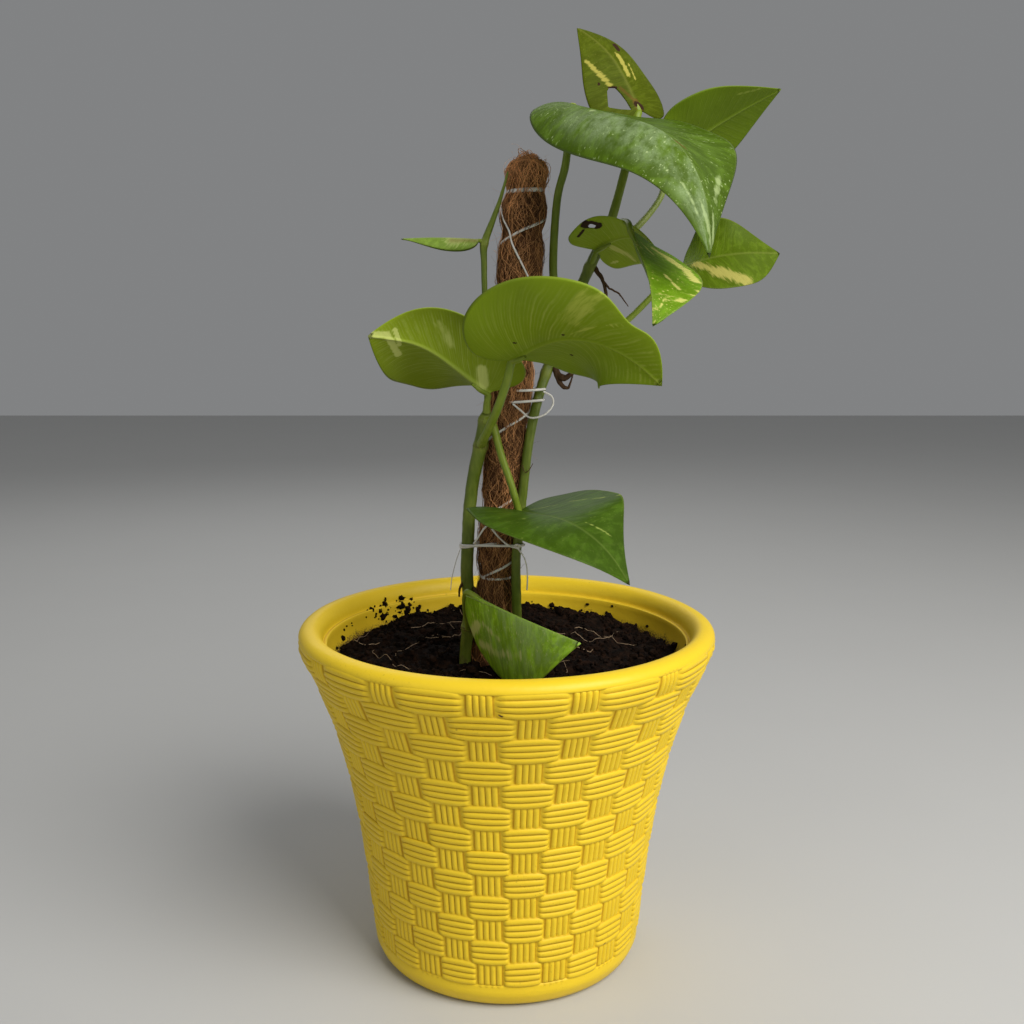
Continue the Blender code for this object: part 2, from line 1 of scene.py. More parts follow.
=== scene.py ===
"""The looks of a variegated pothos trained up a coir pole, in a basket-weave pot.

Lengths are metres, except in tables marked as millimetres. +Z is up, the pot's axis is the Z
axis and the plant is seen along +Y, as in the photograph.
"""
import logging
import math
from dataclasses import dataclass, field
from enum import Enum
from typing import Any, Optional, Sequence, Union

import bmesh
import bpy
import numpy as np
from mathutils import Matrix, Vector

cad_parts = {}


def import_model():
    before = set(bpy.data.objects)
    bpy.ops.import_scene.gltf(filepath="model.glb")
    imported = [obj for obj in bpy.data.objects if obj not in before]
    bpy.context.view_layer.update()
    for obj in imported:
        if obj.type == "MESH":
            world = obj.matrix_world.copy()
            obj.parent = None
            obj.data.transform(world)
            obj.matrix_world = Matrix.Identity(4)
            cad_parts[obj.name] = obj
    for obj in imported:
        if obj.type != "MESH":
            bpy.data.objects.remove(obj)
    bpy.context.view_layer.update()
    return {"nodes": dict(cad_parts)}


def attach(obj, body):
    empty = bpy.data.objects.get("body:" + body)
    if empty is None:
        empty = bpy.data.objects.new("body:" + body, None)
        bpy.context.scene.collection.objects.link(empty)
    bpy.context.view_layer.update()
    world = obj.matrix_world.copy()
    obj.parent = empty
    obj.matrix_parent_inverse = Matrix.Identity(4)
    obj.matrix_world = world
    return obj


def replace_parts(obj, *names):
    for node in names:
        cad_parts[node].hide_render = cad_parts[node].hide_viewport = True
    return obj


LOG = logging.getLogger("pothos")
MM = 0.001
BODY = "root"
SIDE_VEINS = 17.0
FINE_VEINS = 53.0
Colour = tuple[float, float, float]
Array = np.ndarray


# Shader maths


class Value:
    """A shader socket that can be used in a sum: each operator adds one Math node."""

    def __init__(self, paint: "Paint", socket: bpy.types.NodeSocket) -> None:
        """Keep the socket and the material that it belongs to."""
        self.paint = paint
        self.socket = socket

    def _math(self, operation: str, left: "Number", right: "Number" = None) -> "Value":
        """Return the result of one Math node."""
        return self.paint.node("ShaderNodeMath", {"operation": operation}, {0: left, 1: right})

    def __add__(self, other: "Number") -> "Value":
        """Sum."""
        return self._math("ADD", self, other)

    def __radd__(self, other: "Number") -> "Value":
        """Sum with the number first."""
        return self._math("ADD", other, self)

    def __sub__(self, other: "Number") -> "Value":
        """Difference."""
        return self._math("SUBTRACT", self, other)

    def __rsub__(self, other: "Number") -> "Value":
        """Difference with the number first."""
        return self._math("SUBTRACT", other, self)

    def __mul__(self, other: "Number") -> "Value":
        """Product."""
        return self._math("MULTIPLY", self, other)

    def __abs__(self) -> "Value":
        """Size without sign."""
        return self._math("ABSOLUTE", self)

    def fraction(self) -> "Value":
        """Part after the decimal point."""
        return self._math("FRACT", self)

    def larger(self, other: "Number") -> "Value":
        """The larger of two values."""
        return self._math("MAXIMUM", self, other)

    def band(self, low: float, high: float) -> "Value":
        """Smooth step: 0 at low and 1 at high; with low above high it falls instead."""
        settings = {"interpolation_type": "SMOOTHSTEP"}
        if low <= high:
            return self.paint.node("ShaderNodeMapRange", settings, {0: self, 1: low, 2: high})
        return 1.0 - self.band(high, low)


Number = Union[float, Value, None]


class Paint:
    """One material's node tree, with a short call for each thing that a finish needs."""

    def __init__(self, name: str) -> None:
        """Start a material that has a Principled shader."""
        self.material = bpy.data.materials.new(name)
        self.material.use_nodes = True
        self.tree = self.material.node_tree
        self.shader = self.tree.nodes["Principled BSDF"]

    def feed(self, socket: bpy.types.NodeSocket, value: Any) -> None:
        """Link a value to a socket, or set the socket to a number or a colour."""
        if isinstance(value, Value):
            self.tree.links.new(value.socket, socket)
        elif value is not None:
            is_colour = socket.type == "RGBA" and len(value) == 3
            socket.default_value = (*value, 1.0) if is_colour else value

    def node(self, kind: str, settings: Optional[dict] = None, values: Optional[dict] = None,
             output: Union[int, str] = 0) -> Value:
        """Add a node.

        Args:
            kind: the node's type.
            settings: its properties, set first.
            values: numbers, colours or links for its sockets.
            output: the socket that is handed back.

        Returns:
            The chosen output.
        """
        node = self.tree.nodes.new(kind)
        for key, value in (settings or {}).items():
            setattr(node, key, value)
        for key, value in (values or {}).items():
            self.feed(node.inputs[key], value)
        return Value(self, node.outputs[output])

    def place(self, scale: Sequence[float] = (1.0, 1.0, 1.0)) -> Value:
        """Object coordinates in metres, stretched by a scale."""
        where = self.node("ShaderNodeTexCoord", output="Object")
        return self.node("ShaderNodeMapping", {"vector_type": "POINT"},
                         {"Vector": where, "Scale": tuple(scale)})

    def attribute(self, name: str) -> Value:
        """A number kept on the mesh's points."""
        return self.node("ShaderNodeAttribute", {"attribute_name": name}, output="Fac")

    def noise(self, where: Value, scale: float, detail: float = 3.0, rough: float = 0.55,
              warp: float = 0.0) -> Value:
        """Fractal noise about 0.5 at a position."""
        return self.node("ShaderNodeTexNoise", values={
            "Vector": where, "Scale": scale, "Detail": detail, "Roughness": rough,
            "Distortion": warp})

    def cells(self, where: Value, scale: float) -> Value:
        """Distance to the nearest of randomly strewn points."""
        return self.node("ShaderNodeTexVoronoi", values={"Vector": where, "Scale": scale},
                         output="Distance")

    def joined(self, x: Number, y: Number, z: Number = 0.0) -> Value:
        """A vector made of three numbers."""
        return self.node("ShaderNodeCombineXYZ", values={0: x, 1: y, 2: z})

    def mix(self, first: Any, second: Any, share: Number) -> Value:
        """Blend two colours: the first at share 0 and the second at share 1."""
        return self.node("ShaderNodeMix", {"data_type": "RGBA"}, {0: share, 6: first, 7: second},
                         output=2)

    def bump(self, height: Value, depth: float, below: Optional[Value] = None) -> Value:
        """Normal of a relief of the given depth in metres."""
        return self.node("ShaderNodeBump", values={
            "Height": height, "Distance": depth, "Strength": 1.0, "Normal": below})

    def surface(self, colour: Any, roughness: Number, normal: Optional[Value] = None,
                **fixed: Any) -> bpy.types.Material:
        """Feed the shader and return the finished material.

        Args:
            colour: base colour.
            roughness: micro roughness.
            normal: bumped normal, if any.
            **fixed: other shader sockets, with underscores for spaces, set to plain numbers.

        Returns:
            The material.
        """
        self.feed(self.shader.inputs["Base Color"], colour)
        self.feed(self.shader.inputs["Roughness"], roughness)
        self.feed(self.shader.inputs["Normal"], normal)
        for key, value in fixed.items():
            self.feed(self.shader.inputs[key.replace("_", " ")], value)
        return self.material


# Mesh maths


def circle(count: int) -> Array:
    """Angles of a full turn in equal steps, without the one that closes it."""
    return np.linspace(0, 2 * math.pi, count, endpoint=False)


def ramp(values: Array, start: float, length: float) -> Array:
    """Rise evenly from 0 at start to 1 at start + length, which lies below it if length is negative."""
    return np.clip((values - start) / length, 0, 1)


def bell(distance: Array, width: Union[float, Array]) -> Array:
    """Bell curve: exp(-(distance / width)^2)."""
    return np.exp(-(distance / width) ** 2)


def eased(t: Array) -> Array:
    """Smooth step from 0 to 1: 3t^2 - 2t^3."""
    return t * t * (3 - 2 * t)


def polar(radius: Union[float, Array], turn: Array, height: Array) -> Array:
    """Points round +Z, where turn 0 faces the camera: (r sin a, -r cos a, z)."""
    return np.stack([radius * np.sin(turn), -radius * np.cos(turn), height], -1)


@dataclass
class Shape:
    """Points with four-sided and three-sided faces, and numbers kept on the points."""

    points: Array
    quads: Array
    triangles: Array = field(default_factory=lambda: np.zeros((0, 3), int))
    values: dict[str, Array] = field(default_factory=dict)

    def volume(self) -> float:
        """Signed volume: a sixth of the sum of triple products over the triangles."""
        halves = [self.triangles, self.quads[:, [0, 1, 2]], self.quads[:, [0, 2, 3]]]
        a, b, c = (self.points[np.vstack(halves)[:, i]] for i in range(3))
        return float(np.einsum("ij,ij->i", a, np.cross(b, c)).sum() / 6.0)

    def outward(self) -> "Shape":
        """Turn all faces round if the volume is negative."""
        if self.volume() < 0.0:
            self.quads = self.quads[:, ::-1]
            self.triangles = self.triangles[:, ::-1]
        return self

    def to_object(self, name: str, material: bpy.types.Material, slot: str,
                  flat: bool = False, recalculate: bool = False) -> bpy.types.Object:
        """Put the shape into a smooth mesh object that rides on the plant's one body.

        Args:
            name: object name.
            material: its finish.
            slot: a material slot name; not used.
            flat: whether faces are shaded flat.
            recalculate: whether the faces are turned outwards one by one.

        Returns:
            The linked object.
        """
        mesh = bpy.data.meshes.new(name)
        loops = np.concatenate([self.quads.ravel(), self.triangles.ravel()])
        sizes = np.repeat([4, 3], [len(self.quads), len(self.triangles)])
        mesh.vertices.add(len(self.points))
        mesh.vertices.foreach_set("co", self.points.astype(np.float32).ravel())
        mesh.loops.add(len(loops))
        mesh.loops.foreach_set("vertex_index", loops.astype(np.int32))
        mesh.polygons.add(len(sizes))
        mesh.polygons.foreach_set("loop_start", (np.cumsum(sizes) - sizes).astype(np.int32))
        mesh.update(calc_edges=True)
        mesh.validate()
        for key, numbers in self.values.items():
            layer = mesh.attributes.new(key, "FLOAT", "POINT")
            layer.data.foreach_set("value", numbers.astype(np.float32).ravel())
        if recalculate:
            edit = bmesh.new()
            edit.from_mesh(mesh)
            bmesh.ops.recalc_face_normals(edit, faces=edit.faces)
            edit.to_mesh(mesh)
            edit.free()
        mesh.polygons.foreach_set("use_smooth", np.full(len(mesh.polygons), not flat))
        mesh.materials.append(material)
        piece = bpy.data.objects.new(name, mesh)
        bpy.context.scene.collection.objects.link(piece)
        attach(piece, BODY)
        LOG.info("%s: %d points, %d faces", name, len(self.points), len(sizes))
        return piece


def join(shapes: Sequence[Shape]) -> Shape:
    """Return one shape that holds all the given ones, with the values that all of them have."""
    offsets = np.cumsum([0] + [len(shape.points) for shape in shapes])
    keys = set.intersection(*(set(shape.values) for shape in shapes))
    return Shape(
        np.vstack([shape.points for shape in shapes]),
        np.vstack([shape.quads + o for shape, o in zip(shapes, offsets)]),
        np.vstack([shape.triangles + o for shape, o in zip(shapes, offsets)]),
        {key: np.concatenate([shape.values[key] for shape in shapes]) for key in keys})


def grid_quads(rows: int, columns: int, wrap_rows: bool = False, wrap_columns: bool = True) -> Array:
    """Faces between neighbouring points of a grid, whose rows or columns may close on themselves."""
    i = np.arange(rows if wrap_rows else rows - 1)[:, None]
    j = np.arange(columns if wrap_columns else columns - 1)[None, :]
    below, right = (i + 1) % rows, (j + 1) % columns
    corners = (i * columns + j, below * columns + j, below * columns + right, i * columns + right)
    return np.stack(np.broadcast_arrays(*corners), -1).reshape(-1, 4)


def fan(centre: int, ring: Array) -> Array:
    """Triangles from one point to each side of a closed ring of points."""
    return np.stack([np.full(len(ring), centre), ring, np.roll(ring, -1)], 1)


def closed_skin(rings: Array, start: Array, end: Array, values: Optional[dict] = None) -> Shape:
    """Close a row of rings with one pole at each end.

    Args:
        rings: points as (rings, points in a ring, 3).
        start: pole before the first ring.
        end: pole after the last ring.
        values: numbers on the rings; a pole takes its ring's mean.

    Returns:
        The closed shape, facing outwards.
    """
    count, around = rings.shape[:2]
    points = np.vstack([rings.reshape(-1, 3), start, end])
    last = count * around
    ends = np.vstack([fan(last, np.arange(around)[::-1]),
                      fan(last + 1, np.arange(around) + last - around)])
    kept = {key: np.concatenate([v.ravel(), [v[0].mean(), v[-1].mean()]])
            for key, v in (values or {}).items()}
    return Shape(points, grid_quads(count, around)[:, ::-1], ends[:, ::-1], kept).outward()


def smooth_path(points: Sequence[Sequence[float]], per_span: int) -> Array:
    """Sample a Catmull-Rom curve through rows of numbers.

    Between rows b and c, with neighbours a and d, at step t it is
    (2b + (c-a)t + (2a-5b+4c-d)t^2 + (3b-a-3c+d)t^3) / 2.

    Args:
        points: rows of numbers.
        per_span: samples between two rows.

    Returns:
        The sampled rows.
    """
    rows = np.asarray(points, float)
    padded = np.vstack([2 * rows[0] - rows[1], rows, 2 * rows[-1] - rows[-2]])
    a, b, c, d = (padded[i:len(padded) - 3 + i, None] for i in range(4))
    t = (np.arange(per_span) / per_span)[None, :, None]
    curve = 0.5 * (2 * b + (c - a) * t + (2 * a - 5 * b + 4 * c - d) * t ** 2
                   + (3 * b - a - 3 * c + d) * t ** 3)
    return np.vstack([curve.reshape(-1, rows.shape[1]), rows[-1:]])


def path_frames(path: Array) -> tuple[Array, Array, Array]:
    """Tangent and two cross directions at each point of a path, or of many paths at once.

    The first cross direction is the part of a fixed side vector that is square to the tangent, so
    the section doesn't spin; the second is their cross product.

    Args:
        path: points as (..., count, 3).

    Returns:
        Tangents and the two cross directions, shaped as the path.
    """
    tangent = np.gradient(path, axis=-2)
    tangent /= np.linalg.norm(tangent, axis=-1, keepdims=True) + 1e-12
    overall = tangent.mean(-2, keepdims=True)
    axis = np.argmin(np.abs(overall), -1)
    side = np.eye(3)[axis]
    first = side - (side * tangent).sum(-1, keepdims=True) * tangent
    first /= np.linalg.norm(first, axis=-1, keepdims=True) + 1e-12
    return tangent, first, np.cross(tangent, first)


def sections(path: Array, reach: Array, sides: int) -> tuple[Array, Array]:
    """Round sections on a path, or on many: centre + r (cos a, sin a) on the cross directions.

    Args:
        path: points as (..., count, 3).
        reach: radii as (..., count, 1), or as (..., count, sides) for a section that isn't round.
        sides: points round the section.

    Returns:
        Points as (..., count, sides, 3), and the path's tangents.
    """
    tangent, first, second = path_frames(path)
    turn = circle(sides)[:, None]
    ring = np.cos(turn) * first[..., None, :] + np.sin(turn) * second[..., None, :]
    return path[..., None, :] + reach[..., None] * ring, tangent


def tube(path: Array, radius: Array, sides: int, relief: Optional[Array] = None,
         values: Optional[dict] = None) -> Shape:
    """Carry a round section along a path and close its ends.

    Args:
        path: points of the centre line.
        radius: radius at each point.
        sides: points round the section.
        relief: factor on the radius, as (points, sides).
        values: numbers at each path point.

    Returns:
        The closed tube.
    """
    reach = radius[:, None] if relief is None else radius[:, None] * relief
    rings, tangent = sections(path, reach, sides)
    spread = {key: np.repeat(v[:, None], sides, 1) for key, v in (values or {}).items()}
    start = path[0] - tangent[0] * radius[0] * 0.5
    return closed_skin(rings, start, path[-1] + tangent[-1] * radius[-1] * 0.5, spread)


def strands(paths: Array, radius: Array, sides: int, shade: Array) -> Shape:
    """Many thin closed tubes at once.

    Args:
        paths: centre lines as (strands, points, 3).
        radius: radii as (strands, points).
        sides: points round each section.
        shade: one number for each strand, kept as the value "shade".

    Returns:
        One shape that holds every strand.
    """
    count, length = paths.shape[:2]
    rings, _ = sections(paths, radius[..., None], sides)
    each = length * sides
    quads = grid_quads(length, sides)[None] + (np.arange(count) * each)[:, None, None]
    closing = np.arange(1, sides - 1)
    start = np.stack([0 * closing, closing, closing + 1], 1)
    end = start[:, ::-1] + each - sides
    caps = np.vstack([start[:, ::-1], end[:, ::-1]])[None] + (np.arange(count) * each)[:, None, None]
    shape = Shape(rings.reshape(-1, 3), quads.reshape(-1, 4), caps.reshape(-1, 3),
                  {"shade": np.repeat(shade, each)})
    return shape.outward()


def lattice_noise(points: Array, scale: float, seed: int, octaves: int = 3) -> Array:
    """Smooth noise between -1 and 1: random numbers on a cubic lattice, blended with 3t^2 - 2t^3.

    Args:
        points: positions as (..., 3).
        scale: lattice cells to a metre.
        seed: chooses the random numbers.
        octaves: layers, each twice as fine and half as strong.

    Returns:
        One number for each position.
    """
    table = np.random.default_rng(seed).uniform(-1, 1, 4096)
    total = np.zeros(points.shape[:-1])
    for octave in range(octaves):
        at = points * scale * 2 ** octave + 17.3 * octave
        cell = np.floor(at).astype(int)
        t = eased(at - cell)
        for corner in range(8):
            step = np.array([corner & 1, corner >> 1 & 1, corner >> 2])
            key = ((cell + step) * np.array([73, 179, 283])).sum(-1) % 4096
            weight = np.prod(np.where(step == 1, t, 1 - t), -1)
            total += table[key] * weight / 2 ** octave
    return total / (2 - 0.5 ** (octaves - 1))


# Finishes


@dataclass(frozen=True)
class PotPlastic:
    """Bright yellow moulded plastic with painted shade, deeper and duller in the grooves and recesses,
    and a few dirt specks.
    """

    bright: Colour = (0.82, 0.576, 0.022)
    # Painted shade colour for the grooves, the gaps between bundles and the inside of the pot.
    deep: Colour = (0.46, 0.230, 0.002)
    dirt: Colour = (0.085, 0.038, 0.016)
    slot: str = "pot_plastic"

    def material(self) -> bpy.types.Material:
        """Build the finish."""
        paint = Paint("pot_yellow")
        here = paint.place()
        # Painted shade: the mesh's shade value draws the yellow towards the deep colour in grooves and
        # recesses.
        groove = paint.attribute("groove")
        cloud = paint.noise(here, 28.0, 4.0)
        tone = groove.band(0.40, 1.0) * 0.66 + groove * 0.14 + cloud.band(0.35, 0.75) * 0.07
        colour = paint.mix(self.bright, self.deep, tone)
        dust = paint.noise(here, 900.0, 2.0).band(0.62, 0.72) * paint.noise(here, 22.0).band(0.52, 0.66)
        speck = paint.cells(here, 95.0).band(0.10, 0.06) * paint.noise(here, 14.0).band(0.60, 0.66)
        grain = (paint.noise(here, 1300.0, 2.0) - 0.5) * 1.5
        soiled = paint.attribute("dirt")
        grime = (dust * 0.30).larger(speck * 0.8).larger((soiled + grain * soiled).band(0.35, 0.65))
        colour = paint.mix(colour, self.dirt, grime)
        rough = 0.36 + cloud * 0.12 + groove * 0.20 + grime * 0.3
        relief = paint.noise(here, 420.0, 2.0) * 0.4 + paint.noise(here, 60.0, 2.0)
        return paint.surface(colour, rough, paint.bump(relief, 0.25 * MM), Specular_IOR_Level=0.26)


@dataclass(frozen=True)
class DampSoil:
    """Dark crumbly soil with fibrous lighter bits."""

    dark: Colour = (0.0028, 0.0014, 0.0007)
    light: Colour = (0.024, 0.0105, 0.0052)
    fibre: Colour = (0.10, 0.06, 0.035)
    slot: str = "soil"

    def material(self) -> bpy.types.Material:
        """Build the finish."""
        paint = Paint("damp_soil")
        here = paint.place()
        lumps = paint.noise(here, 260.0, 5.0, 0.7)
        grit = paint.cells(here, 520.0)
        colour = paint.mix(self.dark, self.light, lumps.band(0.40, 0.72) * 0.8)
        colour = paint.mix(colour, self.fibre, paint.noise(here, 640.0).band(0.70, 0.76) * 0.4)
        normal = paint.bump(lumps + grit * 0.5, 1.2 * MM)
        return paint.surface(colour, 0.92, normal, Specular_IOR_Level=0.08)


@dataclass(frozen=True)
class CoirFibre:
    """Red-brown coconut fibre: each strand has its own tone, from the value "shade", which also holds
    painted shade on the core and painted light near the top.
    """

    dark: Colour = (0.034, 0.010, 0.004)
    light: Colour = (0.95, 0.465, 0.180)
    slot: str = "coir"

    def material(self, name: str = "coir_fibre") -> bpy.types.Material:
        """Build the finish."""
        paint = Paint(name)
        here = paint.place((1.0, 1.0, 0.25))
        streak = paint.noise(here, 900.0, 4.0, 0.65)
        tone = paint.attribute("shade") * 0.75 + streak * 0.5
        colour = paint.mix(self.dark, self.light, tone.band(0.14, 1.22))
        return paint.surface(colour, 0.75, paint.bump(streak, 0.3 * MM), Specular_IOR_Level=0.18)


@dataclass(frozen=True)
class StickWood:
    """Plain softwood of the stick inside the sleeve, with grain along its length."""

    light: Colour = (0.46, 0.30, 0.16)
    dark: Colour = (0.25, 0.14, 0.065)
    slot: str = "stick_wood"

    def material(self) -> bpy.types.Material:
        """Build the finish."""
        paint = Paint("stick_wood_grain")
        grain = paint.noise(paint.place((1.0, 1.0, 0.06)), 700.0, 4.0, 0.6)
        colour = paint.mix(self.dark, self.light, grain.band(0.3, 0.7))
        return paint.surface(colour, 0.62 + grain * 0.2, paint.bump(grain, 0.2 * MM))


@dataclass(frozen=True)
class TieString:
    """Pale string, slightly soiled, with a fine twist along it."""

    pale: Colour = (0.74, 0.72, 0.66)
    soiled: Colour = (0.42, 0.37, 0.29)
    slot: str = "tie_string"

    def material(self) -> bpy.types.Material:
        """Build the finish."""
        paint = Paint("pale_" + self.slot)
        here = paint.place()
        smudge = paint.noise(here, 130.0, 3.0)
        fibre = paint.noise(here, 2600.0, 2.0)
        colour = paint.mix(self.pale, self.soiled, smudge.band(0.48, 0.80) * 0.8)
        return paint.surface(colour, 0.42 + fibre * 0.15, paint.bump(fibre, 0.12 * MM))


@dataclass(frozen=True)
class StemSkin:
    """Green stem skin with pale ridges, scars and brown roots or sheaths."""

    green: Colour = (0.080, 0.120, 0.006)
    pale: Colour = (0.180, 0.220, 0.028)
    brown: Colour = (0.060, 0.030, 0.010)
    name: str = "stem_skin"
    slot: str = "stem_green"

    def material(self) -> bpy.types.Material:
        """Build the finish; the values "brown" and "light" come from the mesh."""
        paint = Paint(self.name)
        here = paint.place((1.0, 1.0, 0.30))
        streak = paint.noise(here, 520.0, 3.0)
        cloud = paint.noise(paint.place(), 60.0, 3.0)
        light = (paint.attribute("light") + (streak - 0.5) * 0.9 + (cloud - 0.5) * 0.5).band(0.0, 1.0)
        colour = paint.mix(self.green, self.pale, light)
        scar = paint.noise(paint.place(), 240.0, 3.0)
        old = (paint.attribute("brown") + (scar - 0.5) * 0.9).band(0.30, 0.75)
        colour = paint.mix(colour, self.brown, old)
        fleck = paint.cells(paint.place((1.0, 1.0, 0.4)), 420.0).band(0.12, 0.04)
        colour = paint.mix(colour, self.brown, fleck * 0.5)
        normal = paint.bump(streak + scar * 0.4, 0.22 * MM)
        rough = 0.42 + old * 0.35 + streak * 0.1
        return paint.surface(colour, rough, normal, Specular_IOR_Level=0.32)


class MarkKind(Enum):
    """What a mark on a blade is made of."""

    CREAM = "cream"
    BROWN = "brown"
    RUST = "rust"


@dataclass(frozen=True)
class Mark:
    """A soft oval or streak on a blade, in flat leaf millimetres from the base."""

    start: tuple[float, float]
    end: tuple[float, float]
    width: float
    strength: float = 1.0
    kind: MarkKind = MarkKind.CREAM


@dataclass(frozen=True)
class LeafSkin:
    """Blade finish: two faces, veins, cream variegation that runs with the veins, scars, and a painted
    sheen.
    """

    upper: Colour
    under: Colour = (0.12, 0.19, 0.02)
    cream: Colour = (0.36, 0.42, 0.13)
    variegation: float = 0.25
    speckle: float = 0.3
    seed: float = 0.0
    gloss: float = 0.34
    sheen: float = 0.0
    opacity: float = 0.85
    shine: float = 0.18
    mottling: float = 0.45
    veins: float = 0.40
    ragged: float = 1.0
    rust: Colour = (0.130, 0.062, 0.012)
    scorch: Colour = (0.035, 0.018, 0.010)
    # Colour of the painted sheen: a whitish-blue reflection of the lamps laid into the upper face.
    painted_sheen: Colour = (0.32, 0.42, 0.22)

    def material(self, name: str) -> bpy.types.Material:
        """Build the finish from the mesh's values.

        The vein phase is share - lean * side * (1 - share), so its level lines leave the midrib and
        sweep forward to the margin; noise on (phase, side) therefore streaks along the veins.
        """
        paint = Paint(name)
        here = paint.place()
        share, side = paint.attribute("share"), paint.attribute("side")
        under, hand = paint.attribute("under"), paint.attribute("hand")
        phase = paint.attribute("phase")
        flow = paint.joined(phase * 9.0, side * 1.1 + self.seed, hand * 3.0 + self.seed)
        fine_flow = paint.joined(phase * 46.0, side * 3.2 + self.seed, hand * 5.0)
        ripple = paint.noise(fine_flow, 1.0, 3.0, 0.6)
        cloud = paint.noise(here, 34.0, 3.0)
        mottle = paint.noise(flow, 2.4, 4.0, 0.65, 0.4)
        lit = tuple(min(1.0, c * 1.8 + 0.004) for c in self.upper)
        patches = cloud.band(0.40, 0.75) * 0.30 + mottle.band(0.42, 0.66) * self.mottling
        upper = paint.mix(self.upper, lit, patches)
        deep = tuple(c * 0.78 for c in self.under)
        lower = paint.mix(self.under, deep, cloud.band(0.35, 0.7) * 0.6 + ripple.band(0.5, 0.8) * 0.35)
        colour = paint.mix(upper, lower, under)
        line = abs((phase * SIDE_VEINS + (cloud - 0.5) * 1.3).fraction() - 0.5).band(0.16, 0.02)
        hair = abs((phase * FINE_VEINS + (cloud - 0.5) * 2.4).fraction() - 0.5).band(0.30, 0.04)
        vein = (line * 0.40 + hair * (0.14 + under * 0.22)) * side.band(0.0, 0.10) * side.band(1.0, 0.60)
        vein = vein * mottle.band(0.3, 0.6)
        pale = tuple(min(1.0, 0.5 * (a + b) + 0.02) for a, b in zip(self.under, self.cream))
        colour = paint.mix(colour, pale, vein * (0.10 + under * self.veins))
        streak = paint.noise(flow, 1.0, 5.0, 0.62, 0.3)
        dash = paint.noise(fine_flow, 0.55, 2.0, 0.5)
        strewn = streak + (dash - 0.5) * 0.30
        edge = 0.80 - 0.32 * self.variegation
        drift = strewn.band(edge, edge + 0.10)
        rare = 0.74 - 0.07 * self.speckle
        fleck = paint.noise(here, 560.0, 2.0, 0.7, 0.8).band(rare, rare + 0.08) * cloud.band(0.36, 0.60)
        thin_flow = paint.joined(phase * 120.0, side * 11.0 + self.seed, hand * 7.0)
        fleck = fleck.larger(paint.noise(thin_flow, 1.0, 1.0).band(0.64, 0.74) * cloud.band(0.34, 0.56))
        painted = paint.attribute("cream")
        ragged = (ripple - 0.5) * (1.7 * self.ragged) + (dash - 0.5) * (0.9 * self.ragged)
        blotch = (painted + ragged * painted.band(0.0, 0.25)).band(0.26, 0.76)
        cream = drift.larger(fleck * self.speckle).larger(blotch)
        cream = cream * (self.opacity - under * 0.30)
        colour = paint.mix(colour, self.cream, cream)
        colour = paint.mix(colour, pale, paint.attribute("rib") * (0.20 + under * 0.18))
        colour = paint.mix(colour, pale, side.band(0.970, 0.992) * 0.3)
        scar = paint.attribute("brown") + (paint.noise(here, 380.0, 3.0) - 0.5) * 0.9
        burn = scar.band(0.34, 0.58)
        rust = (paint.attribute("rust") + (ripple - 0.5) * 0.5).band(0.15, 0.85)
        colour = paint.mix(colour, self.rust, rust * 0.75)
        pin = paint.cells(here, 120.0).band(0.060, 0.035) * cloud.band(0.55, 0.62)
        colour = paint.mix(colour, self.scorch, burn.larger(pin * 0.7))
        # Painted sheen: a pale reflection streaked along the veins on the upper face, fading towards the
        # margin and the base, kept off the half turned from the light, and grained.
        sheen_grain = 0.75 + paint.noise(here, 1400.0, 2.0).band(0.35, 0.65) * 0.35
        painted_sheen = paint.noise(flow, 1.7, 4.0, 0.65).band(0.34, 0.64) * self.sheen * (1.0 - under)
        painted_sheen = painted_sheen * side.band(0.94, 0.50)
        painted_sheen = painted_sheen * (1.0 - hand * 0.92) * sheen_grain * share.band(0.30, 0.60)
        colour = paint.mix(colour, self.painted_sheen, painted_sheen)
        rough = self.gloss + 0.08 + under * 0.12 + ripple * 0.10 + burn * 0.3 + cream * 0.05
        height = ripple * 0.4 - hair * 0.08 * (1.0 - under * 1.8) - line * 0.22 * (1.0 - under * 1.9)
        normal = paint.bump(height + paint.noise(here, 900.0, 2.0) * 0.25, 0.12 * MM)
        return paint.surface(colour, rough, normal, Specular_IOR_Level=self.shine)


# The pot


